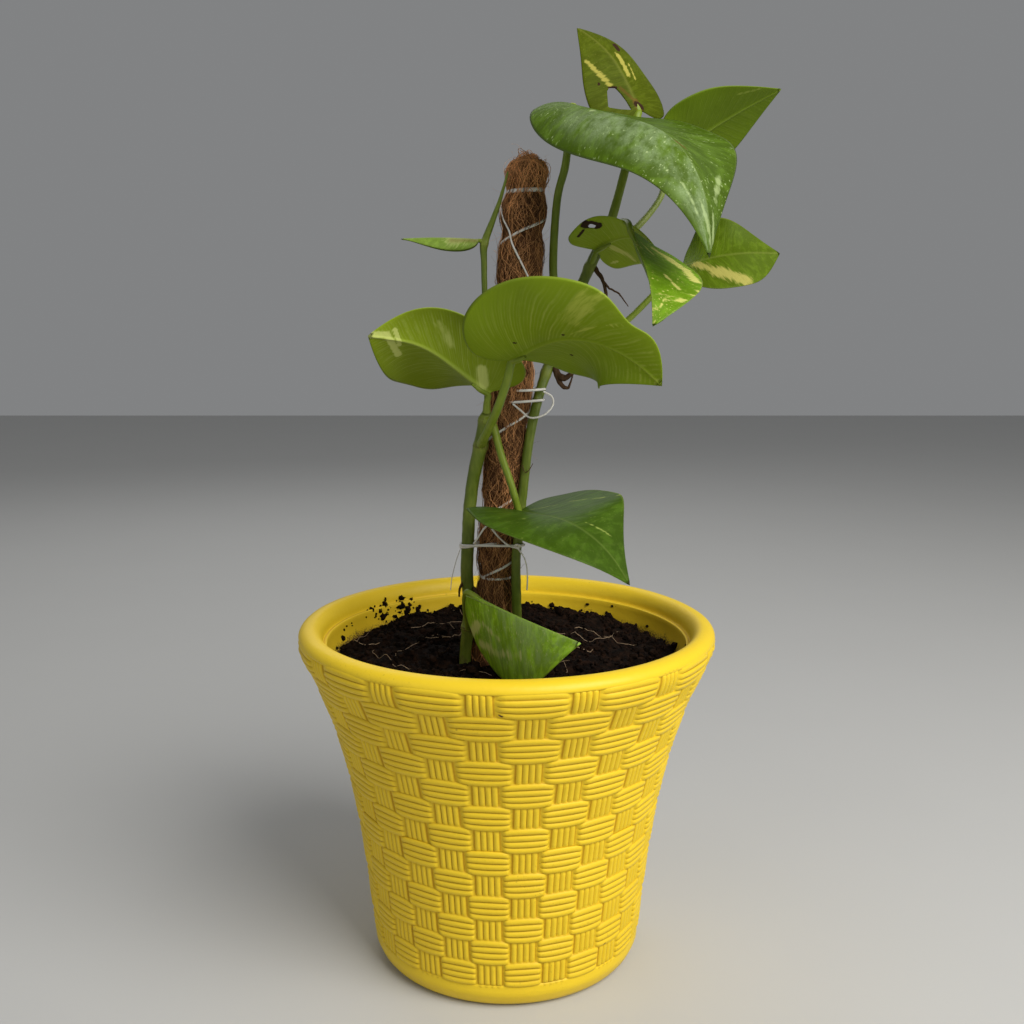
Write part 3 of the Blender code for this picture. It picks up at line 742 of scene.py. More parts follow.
@dataclass
class BasketPot:
    """Round plastic pot: smooth liner and rolled rim, and an outer wall moulded as a basket."""

    finish: PotPlastic = field(default_factory=PotPlastic)
    columns: int = 28
    rows: int = 13
    weave_top: float = 0.162
    weave_bottom: float = 0.0125
    foot: float = 0.065
    taper: float = 0.10
    flare: float = 0.018
    flare_height: float = 0.154
    flare_power: float = 3.5
    liner_foot: float = 0.061
    liner_flare: float = 0.010
    rim_radius: float = 0.100
    crest: tuple[float, float] = (0.094, 0.1665)
    ledge: tuple[float, float] = (0.0885, 0.1585)
    floor: float = 0.004
    gap_depth: float = 1.20 * MM
    crown: float = 0.66 * MM
    rib_height: float = 1.0 * MM
    rod_foot: float = 0.12 * MM
    ribs: int = 4
    upright_half: float = 5.6 * MM
    bundle_gap: float = 1.25 * MM
    bow: float = 0.060
    tip_rise: float = 1.7 * MM
    rim_softness: float = 0.9 * MM
    around: int = 288
    weave_depth: float = 2.6 * MM
    body_inset: float = 0.0017
    unevenness: float = 0.35 * MM
    rod_steps: tuple[float, ...] = (0.0, 0.13, 0.5, 0.87)
    spots: tuple[tuple[float, float, float], ...] = ((-0.0022, 0.1523, 0.0015),)
    scuffs: tuple[tuple[float, float, float], ...] = (
        (-0.0355, 0.1612, 0.0022), (-0.0310, 0.1606, 0.0020), (-0.0268, 0.1602, 0.0016))

    @property
    def row_height(self) -> float:
        """Height of one woven row."""
        return (self.weave_top - self.weave_bottom) / self.rows

    def radius(self, height: Array, foot: float, flare: float) -> Array:
        """Wall radius: foot + taper z + flare (z / flare height)^power."""
        bend = (np.abs(height) / self.flare_height) ** self.flare_power
        return foot + self.taper * height + flare * bend

    def outer(self, height: Array) -> Array:
        """Outer wall radius, and the rim's elliptic shoulder above the weave.

        The wall is the soft minimum -k log(exp(-a/k) + exp(-b/k)) of the flaring wall and the rim.
        """
        flaring = self.radius(height, self.foot, self.flare)
        wall = -self.rim_softness * np.logaddexp(-self.rim_radius / self.rim_softness,
                                                 -flaring / self.rim_softness)
        rise = ramp(height, self.weave_top, self.crest[1] - self.weave_top)
        shoulder = self.crest[0] + (self.rim_radius - self.crest[0]) * np.sqrt(1 - rise ** 2)
        return np.where(height > self.weave_top, shoulder, wall)

    def inner_radius(self, height: Array) -> Array:
        """Inner wall radius: the liner, and the rim's elliptic inner side above the ledge."""
        rise = ramp(height, self.ledge[1], self.crest[1] - self.ledge[1])
        shoulder = self.crest[0] - (self.crest[0] - self.ledge[0]) * np.sqrt(1 - rise ** 2)
        liner = self.radius(height, self.liner_foot, self.liner_flare)
        return np.where(height > self.ledge[1], shoulder, liner)

    def rib(self, across: Array) -> Array:
        """Round ribs side by side over -0.5 to 0.5: sqrt(1 - u^2), with u from -1 to 1 on each."""
        u = 2 * np.mod((across + 0.5) * self.ribs, 1.0) - 1
        return np.sqrt(np.clip(1 - u ** 2, 0, 1))

    def rods(self) -> Array:
        """Sample places over a bundle of rods, from 0 to 1, crowded towards the grooves."""
        return (np.arange(self.ribs)[:, None] + np.array(self.rod_steps)).ravel() / self.ribs

    def clearance(self, width: Array) -> Array:
        """Gap between a standing bundle and the end of a lying one, in a column of a width."""
        return np.minimum(self.bundle_gap, 0.45 * (0.5 * width - self.upright_half))

    def columns_grid(self, height: Array) -> tuple[Array, Array, Array]:
        """Sample places round the wall, four to each standing rod and a few in the gaps.

        Args:
            height: heights of the sample rows.

        Returns:
            Signed distance from the column's middle, column width and column number, each as
            (rows, samples).
        """
        width = 2 * math.pi * self.outer(height) / self.columns
        space = 0.5 * width - self.upright_half
        steps = (2 * np.append(self.rods(), 1.0) - 1) * self.upright_half
        rods = np.broadcast_to(steps, (len(height), len(steps)))
        clear = self.clearance(width)
        gaps = np.stack([clear, clear + 0.4 * (space - clear), space], 1) + self.upright_half
        offset = np.concatenate([-gaps[:, 1::-1], rods, gaps], 1)
        number = np.repeat(np.arange(self.columns), offset.shape[1])[None] + 0 * height[:, None]
        offset = np.tile(offset, (1, self.columns))
        return offset, width[:, None] + 0 * offset, number

    def lying(self, row: Array, place: tuple[Array, Array, Array]) -> Array:
        """Share of the way from a lying bundle's middle (0) to its end (1) in a row of the weave."""
        offset, width, number = place
        on_top = np.mod(number + row, 2) == 0
        away = np.where(on_top, np.abs(offset), width - np.abs(offset))
        return away / (width - self.upright_half - self.clearance(width))

    def on_upright(self, place: tuple[Array, Array, Array]) -> Array:
        """Whether a place is over the standing rods, with a hair's width for rounding."""
        return np.abs(place[0]) < self.upright_half * 1.001

    def standing(self, place: tuple[Array, Array, Array]) -> Array:
        """Relief of the standing rods."""
        return self.rib(0.5 * place[0] / self.upright_half) * self.rib_height + self.rod_foot

    def relief(self, row: Array, t: Array, place: tuple[Array, Array, Array]) -> tuple[Array, Array]:
        """Relief and painted shade of the weave in a row, t running from -0.5 at its top to 0.5.

        A lying bundle is edge (crown + rib), where edge = sqrt(1 - share^12) rounds its ends. A
        standing bundle is rod sqrt(1 - (2t)^8), so its rods dive under the neighbouring rows. The
        painted shade is 1 - rib on a bundle and less between the bundles.
        """
        share = np.clip(self.lying(row, place), 0, 1)
        edge = np.sqrt(1 - share ** 12)
        low = np.where((row == 0) & (t < -0.25), 0.6, 1.0)
        crown = self.crown * (0.80 + 0.20 * np.cos(np.pi * t)) * low
        lying = edge * (crown + self.rib_height * self.rib(t))
        dive = np.sqrt(np.clip(1 - (2 * t) ** 8, 0, 1))
        upright = (np.mod(place[2] + row, 2) == 1) & self.on_upright(place)
        rod = np.where(upright, self.standing(place) * dive, 0.0)
        # Painted shade: darkest in the valleys between ribs, 0.35 in the gaps, towards 0.6 where
        # standing rods dive under a row.
        groove = np.where(edge > 0, 1 - self.rib(t), 0.35)
        across = self.rib(0.5 * place[0] / self.upright_half)
        groove = np.where(upright, (1 - across) * dive + 0.6 * (1 - dive), groove)
        return np.maximum(lying, rod) - self.gap_depth, groove + 0 * share

    def tips(self, beyond: Array, place: tuple[Array, Array, Array], shown: Array) -> Array:
        """Round tips of the rods past the first or last row: rod sqrt(1 - (beyond / rise)^2)."""
        tip = np.sqrt(np.clip(1 - (beyond / self.tip_rise) ** 2, 0, 1))
        return np.where(shown & self.on_upright(place), self.standing(place) * tip, 0.0) - self.gap_depth

    def weave_band(self, first_row: int, last_row: int) -> Shape:
        """A ring of woven rows, closed by a plain wall behind it.

        The line between two rows moves by bow * (bulge below - bulge above), with
        bulge = 1 - share^2 in a lying bundle, so the ribs bow apart towards a bundle's middle.

        Args:
            first_row: its top row, counted from the rim.
            last_row: the row below its last one.

        Returns:
            The closed ring, with its painted shade and its dirt as values.
        """
        down = np.append((np.arange(first_row, last_row)[:, None] + self.rods()).ravel(), last_row)
        beyond = np.array([0.25, 0.5, 0.75, 0.92, 1.0]) * self.tip_rise
        above = beyond[::-1] if first_row == 0 else beyond[:0]
        below = beyond if last_row == self.rows else beyond[:0]
        level = self.weave_top - down * self.row_height
        nominal = np.concatenate([self.weave_top + above, level, self.weave_bottom - below])
        grid = self.columns_grid(nominal)
        cut = np.cumsum([len(above), len(level)])
        over, place, under = zip(*(np.split(part, cut) for part in grid))
        row = np.minimum(down.astype(int), last_row - 1)[:, None]
        t = down[:, None] - row - 0.5
        relief, groove = self.relief(row, t, place)
        for edge, step in ((-0.5, -1), (0.5, 1)):
            beside, _ = self.relief(np.clip(row + step, 0, self.rows - 1), 0 * t - edge, place)
            relief = np.where(t == edge, np.maximum(relief, beside), relief)
            # Painted shadow: a dark line where two rows meet.
            groove = np.where(t == edge, 0.74, groove)
        bulge = [np.where((row + k >= 0) & (row + k < self.rows),
                          np.clip(1 - self.lying(row + k, place) ** 2, 0, 1), 0) for k in (-1, 0, 1)]
        shift = (bulge[1] - bulge[0]) * (0.5 - t) - (bulge[1] - bulge[2]) * (0.5 + t)
        height = level[:, None] + self.bow * self.row_height * shift
        top = self.tips(above[:, None], over, np.mod(over[2], 2) == 1)
        down_rod = np.mod(under[2] + self.rows - 1, 2) == 1
        bottom = self.tips(below[:, None] * np.where(down_rod, 1.0, 1.6), under, below[:, None] > 0)
        heights = np.vstack([self.weave_top + above[:, None] + 0 * top, height,
                             self.weave_bottom - below[:, None] + 0 * bottom])
        angle = 2 * math.pi / self.columns * (grid[2] + 0.5 + grid[0] / grid[1])
        back = nominal[[-1, len(nominal) // 2, 0]][:, None] + 0 * angle[:3]
        radius = np.vstack([self.outer(heights) + np.vstack([top, relief, bottom]),
                            self.outer(back) - self.weave_depth])
        turn = np.vstack([angle, np.repeat(angle[:1], 3, 0)])
        z = np.vstack([heights, back])
        points = polar(radius, turn, z)
        # Painted shade: partial on the rods' tips, full on the plain wall behind the weave.
        groove = np.vstack([0.45 - top / self.gap_depth * 0.3, groove, 0.5 + 0 * bottom, 1 + 0 * back])
        return Shape(points.reshape(-1, 3), grid_quads(*radius.shape, wrap_rows=True),
                     values={"groove": groove.ravel(),
                             "dirt": self.soiled(points, self.spots).ravel()}).outward()

    def soiled(self, points: Array, spots: tuple[tuple[float, float, float], ...]) -> Array:
        """Round soiled spots on the side that faces the camera: exp(-(d / r)^4) about each x, z."""
        total = np.zeros(points.shape[:-1])
        for x, z, radius in spots:
            gap = np.hypot(points[..., 0] - x, 1.6 * (points[..., 2] - z)) / radius
            total = np.maximum(total, np.exp(-gap ** 4) * (points[..., 1] < -0.08))
        return total

    def body_profile(self) -> Array:
        """Radius, height and painted shade of the body from the underside over the rim to the inner
        floor.
        """
        # The third number is painted shade: full under the foot and behind the weave, heavy under the
        # ledge and on the floor, half down the liner.
        foot = [(0.0, 0.0022, 1), (0.050, 0.0022, 1), (0.0535, 0.0004, 0.3), (0.055, 0.0, 0),
                (0.058, 0.0, 0), (0.060, 0.0004, 0), (0.0625, 0.0018, 0), (0.0642, 0.0040, 0),
                (0.0653, 0.0065, 0)]
        band = self.weave_bottom
        foot += [(float(self.outer(np.array(z))) + extra, z, 0) for z, extra in
                 ((0.0080, 0.0001), (0.0096, -0.0001), (band - 0.0010, -0.0004), (band, -0.0006))]
        inner_wall = [(float(self.outer(np.array(z))) - self.body_inset, z, 1)
                      for z in np.linspace(band + 0.0004, self.weave_top - 0.001, 24)]
        top = [(self.rim_radius - 0.0005, self.weave_top - 0.0006, 0.2)]
        turn = np.radians(np.linspace(0, 90, 13))
        outer = [(self.crest[0] + (self.rim_radius - 0.0002 - self.crest[0]) * math.cos(t),
                  self.weave_top + (self.crest[1] - self.weave_top) * math.sin(t), 0) for t in turn]
        inner = [(self.crest[0] + (self.ledge[0] - self.crest[0]) * math.cos(t),
                  self.ledge[1] + (self.crest[1] - self.ledge[1]) * math.sin(t), 0.15)
                 for t in turn[::-1]]
        lip = [(self.ledge[0] - 0.0004, self.ledge[1] - 0.0006, 0.8),
               (self.ledge[0] - 0.0010, self.ledge[1] - 0.0004, 0.6),
               (self.ledge[0] - 0.0016, self.ledge[1] - 0.0002, 0.3),
               (self.ledge[0] - 0.0021, self.ledge[1] - 0.0008, 0.5)]
        depth = np.linspace(self.ledge[1] - 0.0030, self.floor + 0.006, 16)
        liner = [(float(r), float(z), 0.55) for r, z in
                 zip(self.radius(depth, self.liner_foot, self.liner_flare), depth)]
        bottom = [(0.058, self.floor + 0.001, 0.8), (0.056, self.floor, 0.8), (0.0, self.floor, 0.8)]
        return np.array(foot + inner_wall + top + outer + inner + lip + liner + bottom)

    def body(self) -> Shape:
        """Turn the body's profile, with the slight unevenness of a moulded rim, soiled spots and painted
        shade.
        """
        profile = self.body_profile()
        angle = circle(self.around)
        radius = np.broadcast_to(profile[1:-1, :1], (len(profile) - 2, len(angle))).copy()
        height = np.broadcast_to(profile[1:-1, 1:2], radius.shape)
        around = polar(self.rim_radius, angle, 0 * angle)
        places = np.broadcast_to(around, (*radius.shape, 3)) + height[..., None]
        uneven = lattice_noise(places, 30.0, 5, 2)
        rim = ramp(height, 0.150, 0.012)
        radius += self.unevenness * uneven * rim
        points = polar(radius, angle, height)
        # Painted shade from the profile's third column.
        groove = np.broadcast_to(profile[1:-1, 2:], radius.shape)
        inside = ramp(radius, 0.0895, -0.002) * ramp(height, 0.140, 0.004)
        dirt = np.clip(lattice_noise(points, 150.0, 8) * 1.6 - 0.45, 0, 1) * inside
        dirt = np.maximum(dirt, ramp(height, 0.1535, -0.006) * inside * 0.7)
        dirt = np.maximum(dirt, 0.75 * self.soiled(points, self.scuffs))
        ends = [np.array([0.0, 0.0, profile[i, 1]]) for i in (0, -1)]
        return closed_skin(points, *ends, {"groove": groove, "dirt": dirt})

    def build(self) -> None:
        """Make the body and the two rings of weave."""
        material = self.finish.material()
        split = self.rows // 2 + 1
        rings = [("pot_weave_upper", self.weave_band(0, split)),
                 ("pot_weave_lower", self.weave_band(split, self.rows)),
                 ("pot_body", self.body())]
        for name, shape in rings:
            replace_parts(shape.to_object(name, material, self.finish.slot), "pot")


# The soil


@dataclass
class SoilBed:
    """Soil that fills the liner: a lumpy top with crumbs, and a few thin roots on it."""

    pot: BasketPot
    finish: DampSoil = field(default_factory=DampSoil)
    top: float = 0.146
    crumb: float = 1.8 * MM
    sink: float = 6.0 * MM
    wall_gap: float = 0.5 * MM
    rings: int = 110
    around: int = 260
    crumbs: int = 4200
    crumb_reach: float = 0.0835
    stuck: int = 150
    clumps: tuple[float, float] = (-2.44, -2.26)
    root_reach: float = 0.080
    root_lift: float = 0.85 * MM
    seed: int = 11

    def height(self, x: Array, y: Array) -> Array:
        """The CAD soil's top: crossing waves on a slope towards the camera side."""
        waves = np.sin(210 * x + 1.3) * np.cos(170 * y) + np.sin(390 * y - 260 * x)
        return self.top + 0.5 * self.crumb * waves + self.sink * y / self.pot.ledge[0]

    def fine_height(self, x: Array, y: Array) -> Array:
        """The top with lumps: wide clods plus folded noise, which makes crumbly creases."""
        at = np.stack([x, y, 0 * x], -1)
        lumps = 1.9 * MM * lattice_noise(at, 90.0, self.seed, 3)
        crumbs = 2.6 * MM * (0.45 - np.abs(lattice_noise(at, 210.0, self.seed + 1, 3)))
        return self.height(x, y) + lumps + crumbs

    def bed(self) -> Shape:
        """The soil body: a polar grid on top, then down the liner to a closed bottom."""
        share = np.linspace(0, 1, self.rings + 1)[1:]
        angle = circle(self.around)
        edge = self.pot.radius(np.array(self.top - 0.002), self.pot.liner_foot, self.pot.liner_flare)
        radius = (share * (edge - self.wall_gap))[:, None] * np.ones_like(angle)
        x, y = radius * np.sin(angle), -radius * np.cos(angle)
        z = self.fine_height(x, y)
        ragged = 2.2 * MM * np.abs(lattice_noise(np.stack([x, y, z], -1), 120.0, self.seed + 2, 3))
        z -= ragged * ramp(share, 0.9, 0.1)[:, None]
        top = np.stack([x, y, z], -1)
        depth = np.array([0.136, 0.118, 0.085, 0.047, 0.010, 0.0055])
        wall = self.pot.radius(depth, self.pot.liner_foot, self.pot.liner_flare) - self.wall_gap
        wall[-1] -= 3.5 * MM
        side = polar(wall[:, None], angle, depth[:, None] + 0 * angle)
        centre = np.array([0.0, 0.0, float(self.fine_height(np.zeros(1), np.zeros(1))[0])])
        return closed_skin(np.vstack([top, side]), centre, np.array([0.0, 0.0, 0.0048]))

    def loose_crumbs(self) -> Shape:
        """Crumbs: one small twenty-sided lump, squashed and turned at random for each place.

        A third of them lie near the edge, and some cling to the liner above the soil.
        """
        random = np.random.default_rng(self.seed)
        golden = (1 + math.sqrt(5)) / 2
        pairs = np.array([(-1, golden), (1, golden), (-1, -golden), (1, -golden)])
        zero = np.zeros((4, 1))
        lump = np.vstack([np.hstack([pairs, zero]), np.hstack([zero, pairs]),
                          np.hstack([pairs[:, 1:], zero, pairs[:, :1]])]) / golden / 1.2
        faces = np.array([(0, 11, 5), (0, 5, 1), (0, 1, 7), (0, 7, 10), (0, 10, 11), (1, 5, 9),
                          (5, 11, 4), (11, 10, 2), (10, 7, 6), (7, 1, 8), (3, 9, 4), (3, 4, 2),
                          (3, 2, 6), (3, 6, 8), (3, 8, 9), (4, 9, 5), (2, 4, 11), (6, 2, 10),
                          (8, 6, 7), (9, 8, 1)])
        count = self.crumbs
        spread = np.where(random.uniform(size=count) < 0.35, random.uniform(0.86, 1.0, count),
                          np.sqrt(random.uniform(0, 1, count)))
        angle = random.uniform(0, 2 * math.pi, count)
        size = random.lognormal(math.log(0.85), 0.50, count).clip(0.3, 2.9) * MM
        radius = spread * self.crumb_reach
        x, y = radius * np.sin(angle), -radius * np.cos(angle)
        z = self.fine_height(x, y) - 1.2 * MM * ramp(spread, 0.9, 0.1) + 0.25 * size
        stuck = np.arange(count) < self.stuck
        clump = np.where(np.arange(count) % 2 == 0, *self.clumps)
        stuck_angle = np.where(random.uniform(size=count) < 0.65, random.normal(clump, 0.045), angle)
        stuck_z = np.where(stuck_angle == angle, random.uniform(0.1475, 0.1575, count),
                           random.normal(0.1560, 0.0024, count).clip(0.150, 0.1615))
        liner = self.pot.inner_radius(stuck_z) - 0.3 * MM
        x = np.where(stuck, liner * np.sin(stuck_angle), x)
        y = np.where(stuck, -liner * np.cos(stuck_angle), y)
        z = np.where(stuck, stuck_z, z)
        size = np.where(stuck, np.where(stuck_angle == angle, 0.8, 0.95) * size, size)
        place = np.stack([x, y, z], -1)
        squash = random.uniform(0.55, 1.25, (count, 1, 3)) * random.uniform(0.8, 1.2, (count, 12, 1))
        turn = random.uniform(0, 2 * math.pi, count)
        points = lump[None] * squash
        cos, sin = np.cos(turn)[:, None], np.sin(turn)[:, None]
        turned = np.stack([points[..., 0] * cos - points[..., 1] * sin,
                           points[..., 0] * sin + points[..., 1] * cos, points[..., 2]], -1)
        cloud = place[:, None] + turned * size[:, None, None]
        triangles = faces[None] + (np.arange(count) * 12)[:, None, None]
        return Shape(cloud.reshape(-1, 3), np.zeros((0, 4), int), triangles.reshape(-1, 3)).outward()

    def thin_roots(self) -> Shape:
        """Thin pale roots that lie on the soil: short wandering paths just above it."""
        random = np.random.default_rng(self.seed + 5)
        starts = np.array([(-52, 44), (-40, 30), (-30, 28), (24, 34), (34, 40), (-62, 20), (10, -30),
                           (-45, -20), (45, 12), (-8, 40), (30, 20), (-28, -45)]) * MM
        count, length = len(starts), 22
        heading = random.uniform(-math.pi, math.pi, (count, 1)) + np.cumsum(
            random.normal(0, 0.35, (count, length)), 1)
        step = random.uniform(1.2, 2.2, (count, 1)) * MM
        x = starts[:, :1] + np.cumsum(np.cos(heading) * step, 1)
        y = starts[:, 1:] + np.cumsum(np.sin(heading) * step, 1)
        reach = np.hypot(x, y)
        limit = np.minimum(1.0, self.root_reach / reach)
        x, y = x * limit, y * limit
        sway = 0.5 * MM * np.sin(np.arange(length) * 0.9 + starts[:, :1] * 900)
        z = self.fine_height(x, y) + self.root_lift + sway
        radius = np.linspace(0.20, 0.10, length)[None] * np.ones((count, 1)) * MM
        return strands(np.stack([x, y, z], -1), radius, 4, np.ones(count))

    def build(self) -> None:
        """Make the bed, its crumbs and its roots."""
        material = self.finish.material()
        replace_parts(self.bed().to_object("soil_bed", material, self.finish.slot), "soil")
        self.loose_crumbs().to_object("soil_crumbs", material, self.finish.slot, flat=True)
        pale = CoirFibre(dark=(0.10, 0.06, 0.035), light=(0.34, 0.24, 0.15)).material("pale_root")
        self.thin_roots().to_object("soil_roots", pale, self.finish.slot)


# The coir pole and its strings


@dataclass
class CoirPole:
    """Coir rope on a stick: a bulging core pinched by strings, wrapped in curved fibres."""

    finish: CoirFibre = field(default_factory=CoirFibre)
    base: tuple[float, float] = (-5.6 * MM, 175.9 * MM)
    top: tuple[float, float] = (9.8 * MM, 383.7 * MM)
    sleeve: tuple[float, float] = (88.0 * MM, 386.0 * MM)
    radius_low: float = 8.0 * MM
    radius_top: float = 9.5 * MM
    crown_base: float = 0.3730
    crown_top: float = 0.3824
    pinches: tuple[float, ...] = (0.1883, 0.2232, 0.2610, 0.2930, 0.3220, 0.3490, 0.3676)
    pinch_depth: float = 1.7 * MM
    pinch_width: float = 4.0 * MM
    fibres: int = 3800
    stray: int = 420
    loops: int = 340
    fibre_radius: float = 0.125 * MM
    neck: float = 0.9 * MM
    neck_base: float = 0.362
    neck_rise: float = 0.010
    # Painted light: fibres near the top get a paler tone, so the crown looks lit although a leaf shades
    # it.
    crown_painted_light: float = 0.42
    # Painted shade: the core under the fibres takes a dark tone, so it reads as shadow between them.
    core_shadow_tone: float = 0.10
    laid_base: float = 0.142
    stray_base: float = 0.165
    seed: int = 23

    def axis_x(self, height: Array) -> Array:
        """X of the leaning axis at a height."""
        lean = (self.top[0] - self.base[0]) / (self.top[1] - self.base[1])
        return self.base[0] + lean * (height - self.base[1])

    def plain_radius(self, height: Array) -> Array:
        """The CAD sleeve's radius at a height."""
        share = (height - self.sleeve[0]) / (self.sleeve[1] - self.sleeve[0])
        return self.radius_low + (self.radius_top - self.radius_low) * share

    def radius(self, height: Array) -> Array:
        """Sleeve radius: drawn in by a bell curve at each string, slimmer above the neck's base, and
        rounded off at the top by sqrt(1 - 0.92 crown^3.6).
        """
        pinch = sum(bell(height - z, self.pinch_width) for z in self.pinches)
        bulged = self.plain_radius(height) + 0.5 * MM - self.pinch_depth * pinch
        bulged = bulged - self.neck * ramp(height, self.neck_base, self.neck_rise)
        crown = ramp(height, self.crown_base, self.crown_top - self.crown_base)
        return bulged * np.sqrt(1 - 0.92 * crown ** 3.6)

    def wrap(self, turn: Array, height: Array, lift: Array) -> Array:
        """Point on the sleeve at a turn (0 faces the camera), lifted off its surface."""
        reach = self.radius(height) + lift
        return np.stack([self.axis_x(height) + reach * np.sin(turn), -reach * np.cos(turn), height], -1)

    def core(self) -> Shape:
        """The sleeve's body: rings whose radius carries slanting cord-like noise."""
        height = np.linspace(self.sleeve[0], self.crown_top, 260)
        turn = circle(56)
        z, a = np.meshgrid(height, turn, indexing="ij")
        slant = np.stack([0.010 * np.sin(a + 40 * z), 0.010 * np.cos(a + 40 * z), 0.22 * z], -1)
        rough = 0.75 * MM * lattice_noise(slant, 420.0, self.seed, 3)
        points = self.wrap(a, z, rough - 0.35 * MM)
        ends = [np.array([float(self.axis_x(np.array(h))), 0.0, h])
                for h in (self.sleeve[0] - 0.4 * MM, self.crown_top + 0.3 * MM)]
        # Painted shade: the core's dark tone.
        return closed_skin(points, *ends, {"shade": self.core_shadow_tone + 0 * a})

    def laid_fibres(self, random: np.random.Generator) -> tuple[Array, Array]:
        """Fibres along the sleeve: each climbs a little way, turning and waving as it goes."""
        count, length = self.fibres, 9
        t = np.linspace(0, 1, length)[None]
        start = random.uniform(self.laid_base, self.crown_top - 0.003, (count, 1))
        climb = random.uniform(0.008, 0.034, (count, 1))
        slope = random.normal(0, 0.8, (count, 1)) + 0.35 * np.sign(random.normal(size=(count, 1)))
        height = np.minimum(start + climb * t, self.crown_top - 0.0005 - 0.002 * t)
        wave = random.uniform(0.05, 0.35, (count, 1)) * np.sin(
            2 * math.pi * (t * random.uniform(0.4, 1.6, (count, 1)) + random.uniform(0, 1, (count, 1))))
        turn = random.uniform(0, 2 * math.pi, (count, 1)) + slope * t * climb / 0.02 + wave
        arch = np.sin(math.pi * t) * random.exponential(0.35, (count, 1)) * MM
        lift = random.uniform(-0.10, 0.55, (count, 1)) * MM + arch
        taper = 1 - 0.45 * np.abs(2 * t - 1) ** 3
        thick = random.uniform(0.6, 1.25, (count, 1)) * self.fibre_radius * taper
        return self.wrap(turn, height, lift), thick

    def stray_fibres(self, random: np.random.Generator) -> tuple[Array, Array]:
        """Fine fibres that stand off the sleeve, bending away by the square of their length."""
        count, length = self.stray, 9
        t = np.linspace(0, 1, length)[None]
        start = random.uniform(self.stray_base, self.crown_top - 0.004, (count, 1))
        reach = random.gamma(2.0, 1.5, (count, 1)) * MM
        rise = random.normal(0.004, 0.007, (count, 1))
        turn = random.uniform(0, 2 * math.pi, (count, 1)) + random.normal(0, 0.9, (count, 1)) * t
        height = np.minimum(start + rise * t, self.crown_top + 0.005)
        curl = 0.6 * MM * np.sin(2 * math.pi * t * random.uniform(0.5, 1.4, (count, 1)))
        lift = reach * t ** 1.6 + curl * t
        thick = np.broadcast_to(0.55 * self.fibre_radius * (1 - 0.6 * t), (count, length))
        return self.wrap(turn, height, lift), thick

    def crown_loops(self, random: np.random.Generator) -> tuple[Array, Array]:
        """Frayed loops over the top: arches from one side of the crown to another."""
        count, length = self.loops, 13
        t = np.linspace(0, 1, length)[None]
        first = random.uniform(0, 2 * math.pi, (count, 1))
        second = first + random.normal(math.pi, 0.9, (count, 1))
        rim = np.sqrt(random.uniform(0.22, 1.0, (count, 1))) * self.radius_top * 1.02
        foot = self.crown_top - 0.003 - 0.009 * (rim / self.radius_top) ** 3
        rise = random.gamma(2.2, 1.1, (count, 1)).clip(0.5, 4.6) * MM + 0.0032
        x = rim * ((1 - t) * np.sin(first) + t * np.sin(second))
        y = -rim * ((1 - t) * np.cos(first) + t * np.cos(second))
        z = foot + rise * np.sin(math.pi * t) ** 0.6
        sway = random.normal(0, 1.8, (count, 1)) * MM * np.sin(math.pi * t)
        top_x = self.axis_x(z)
        path = np.stack([top_x + x + sway, y + sway * 0.6, z], -1)
        thick = np.broadcast_to(self.fibre_radius, (count, length))
        return path, thick

    def build(self) -> None:
        """Make the core and the three kinds of fibre."""
        material = self.finish.material()
        random = np.random.default_rng(self.seed)
        core = self.core().to_object("coir_core", material, self.finish.slot)
        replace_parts(core, "coir_pole")
        kinds = (("coir_fibres", self.laid_fibres), ("coir_strays", self.stray_fibres),
                 ("coir_crown", self.crown_loops))
        for name, make in kinds:
            paths, thick = make(random)
            # Painted light on the fibres near the top.
            near_top = paths[:, 0, 2] > self.crown_base - 0.02
            shade = random.beta(0.85, 1.1, len(paths)) + self.crown_painted_light * near_top
            strands(paths, thick, 3, shade).to_object(name, material, self.finish.slot)


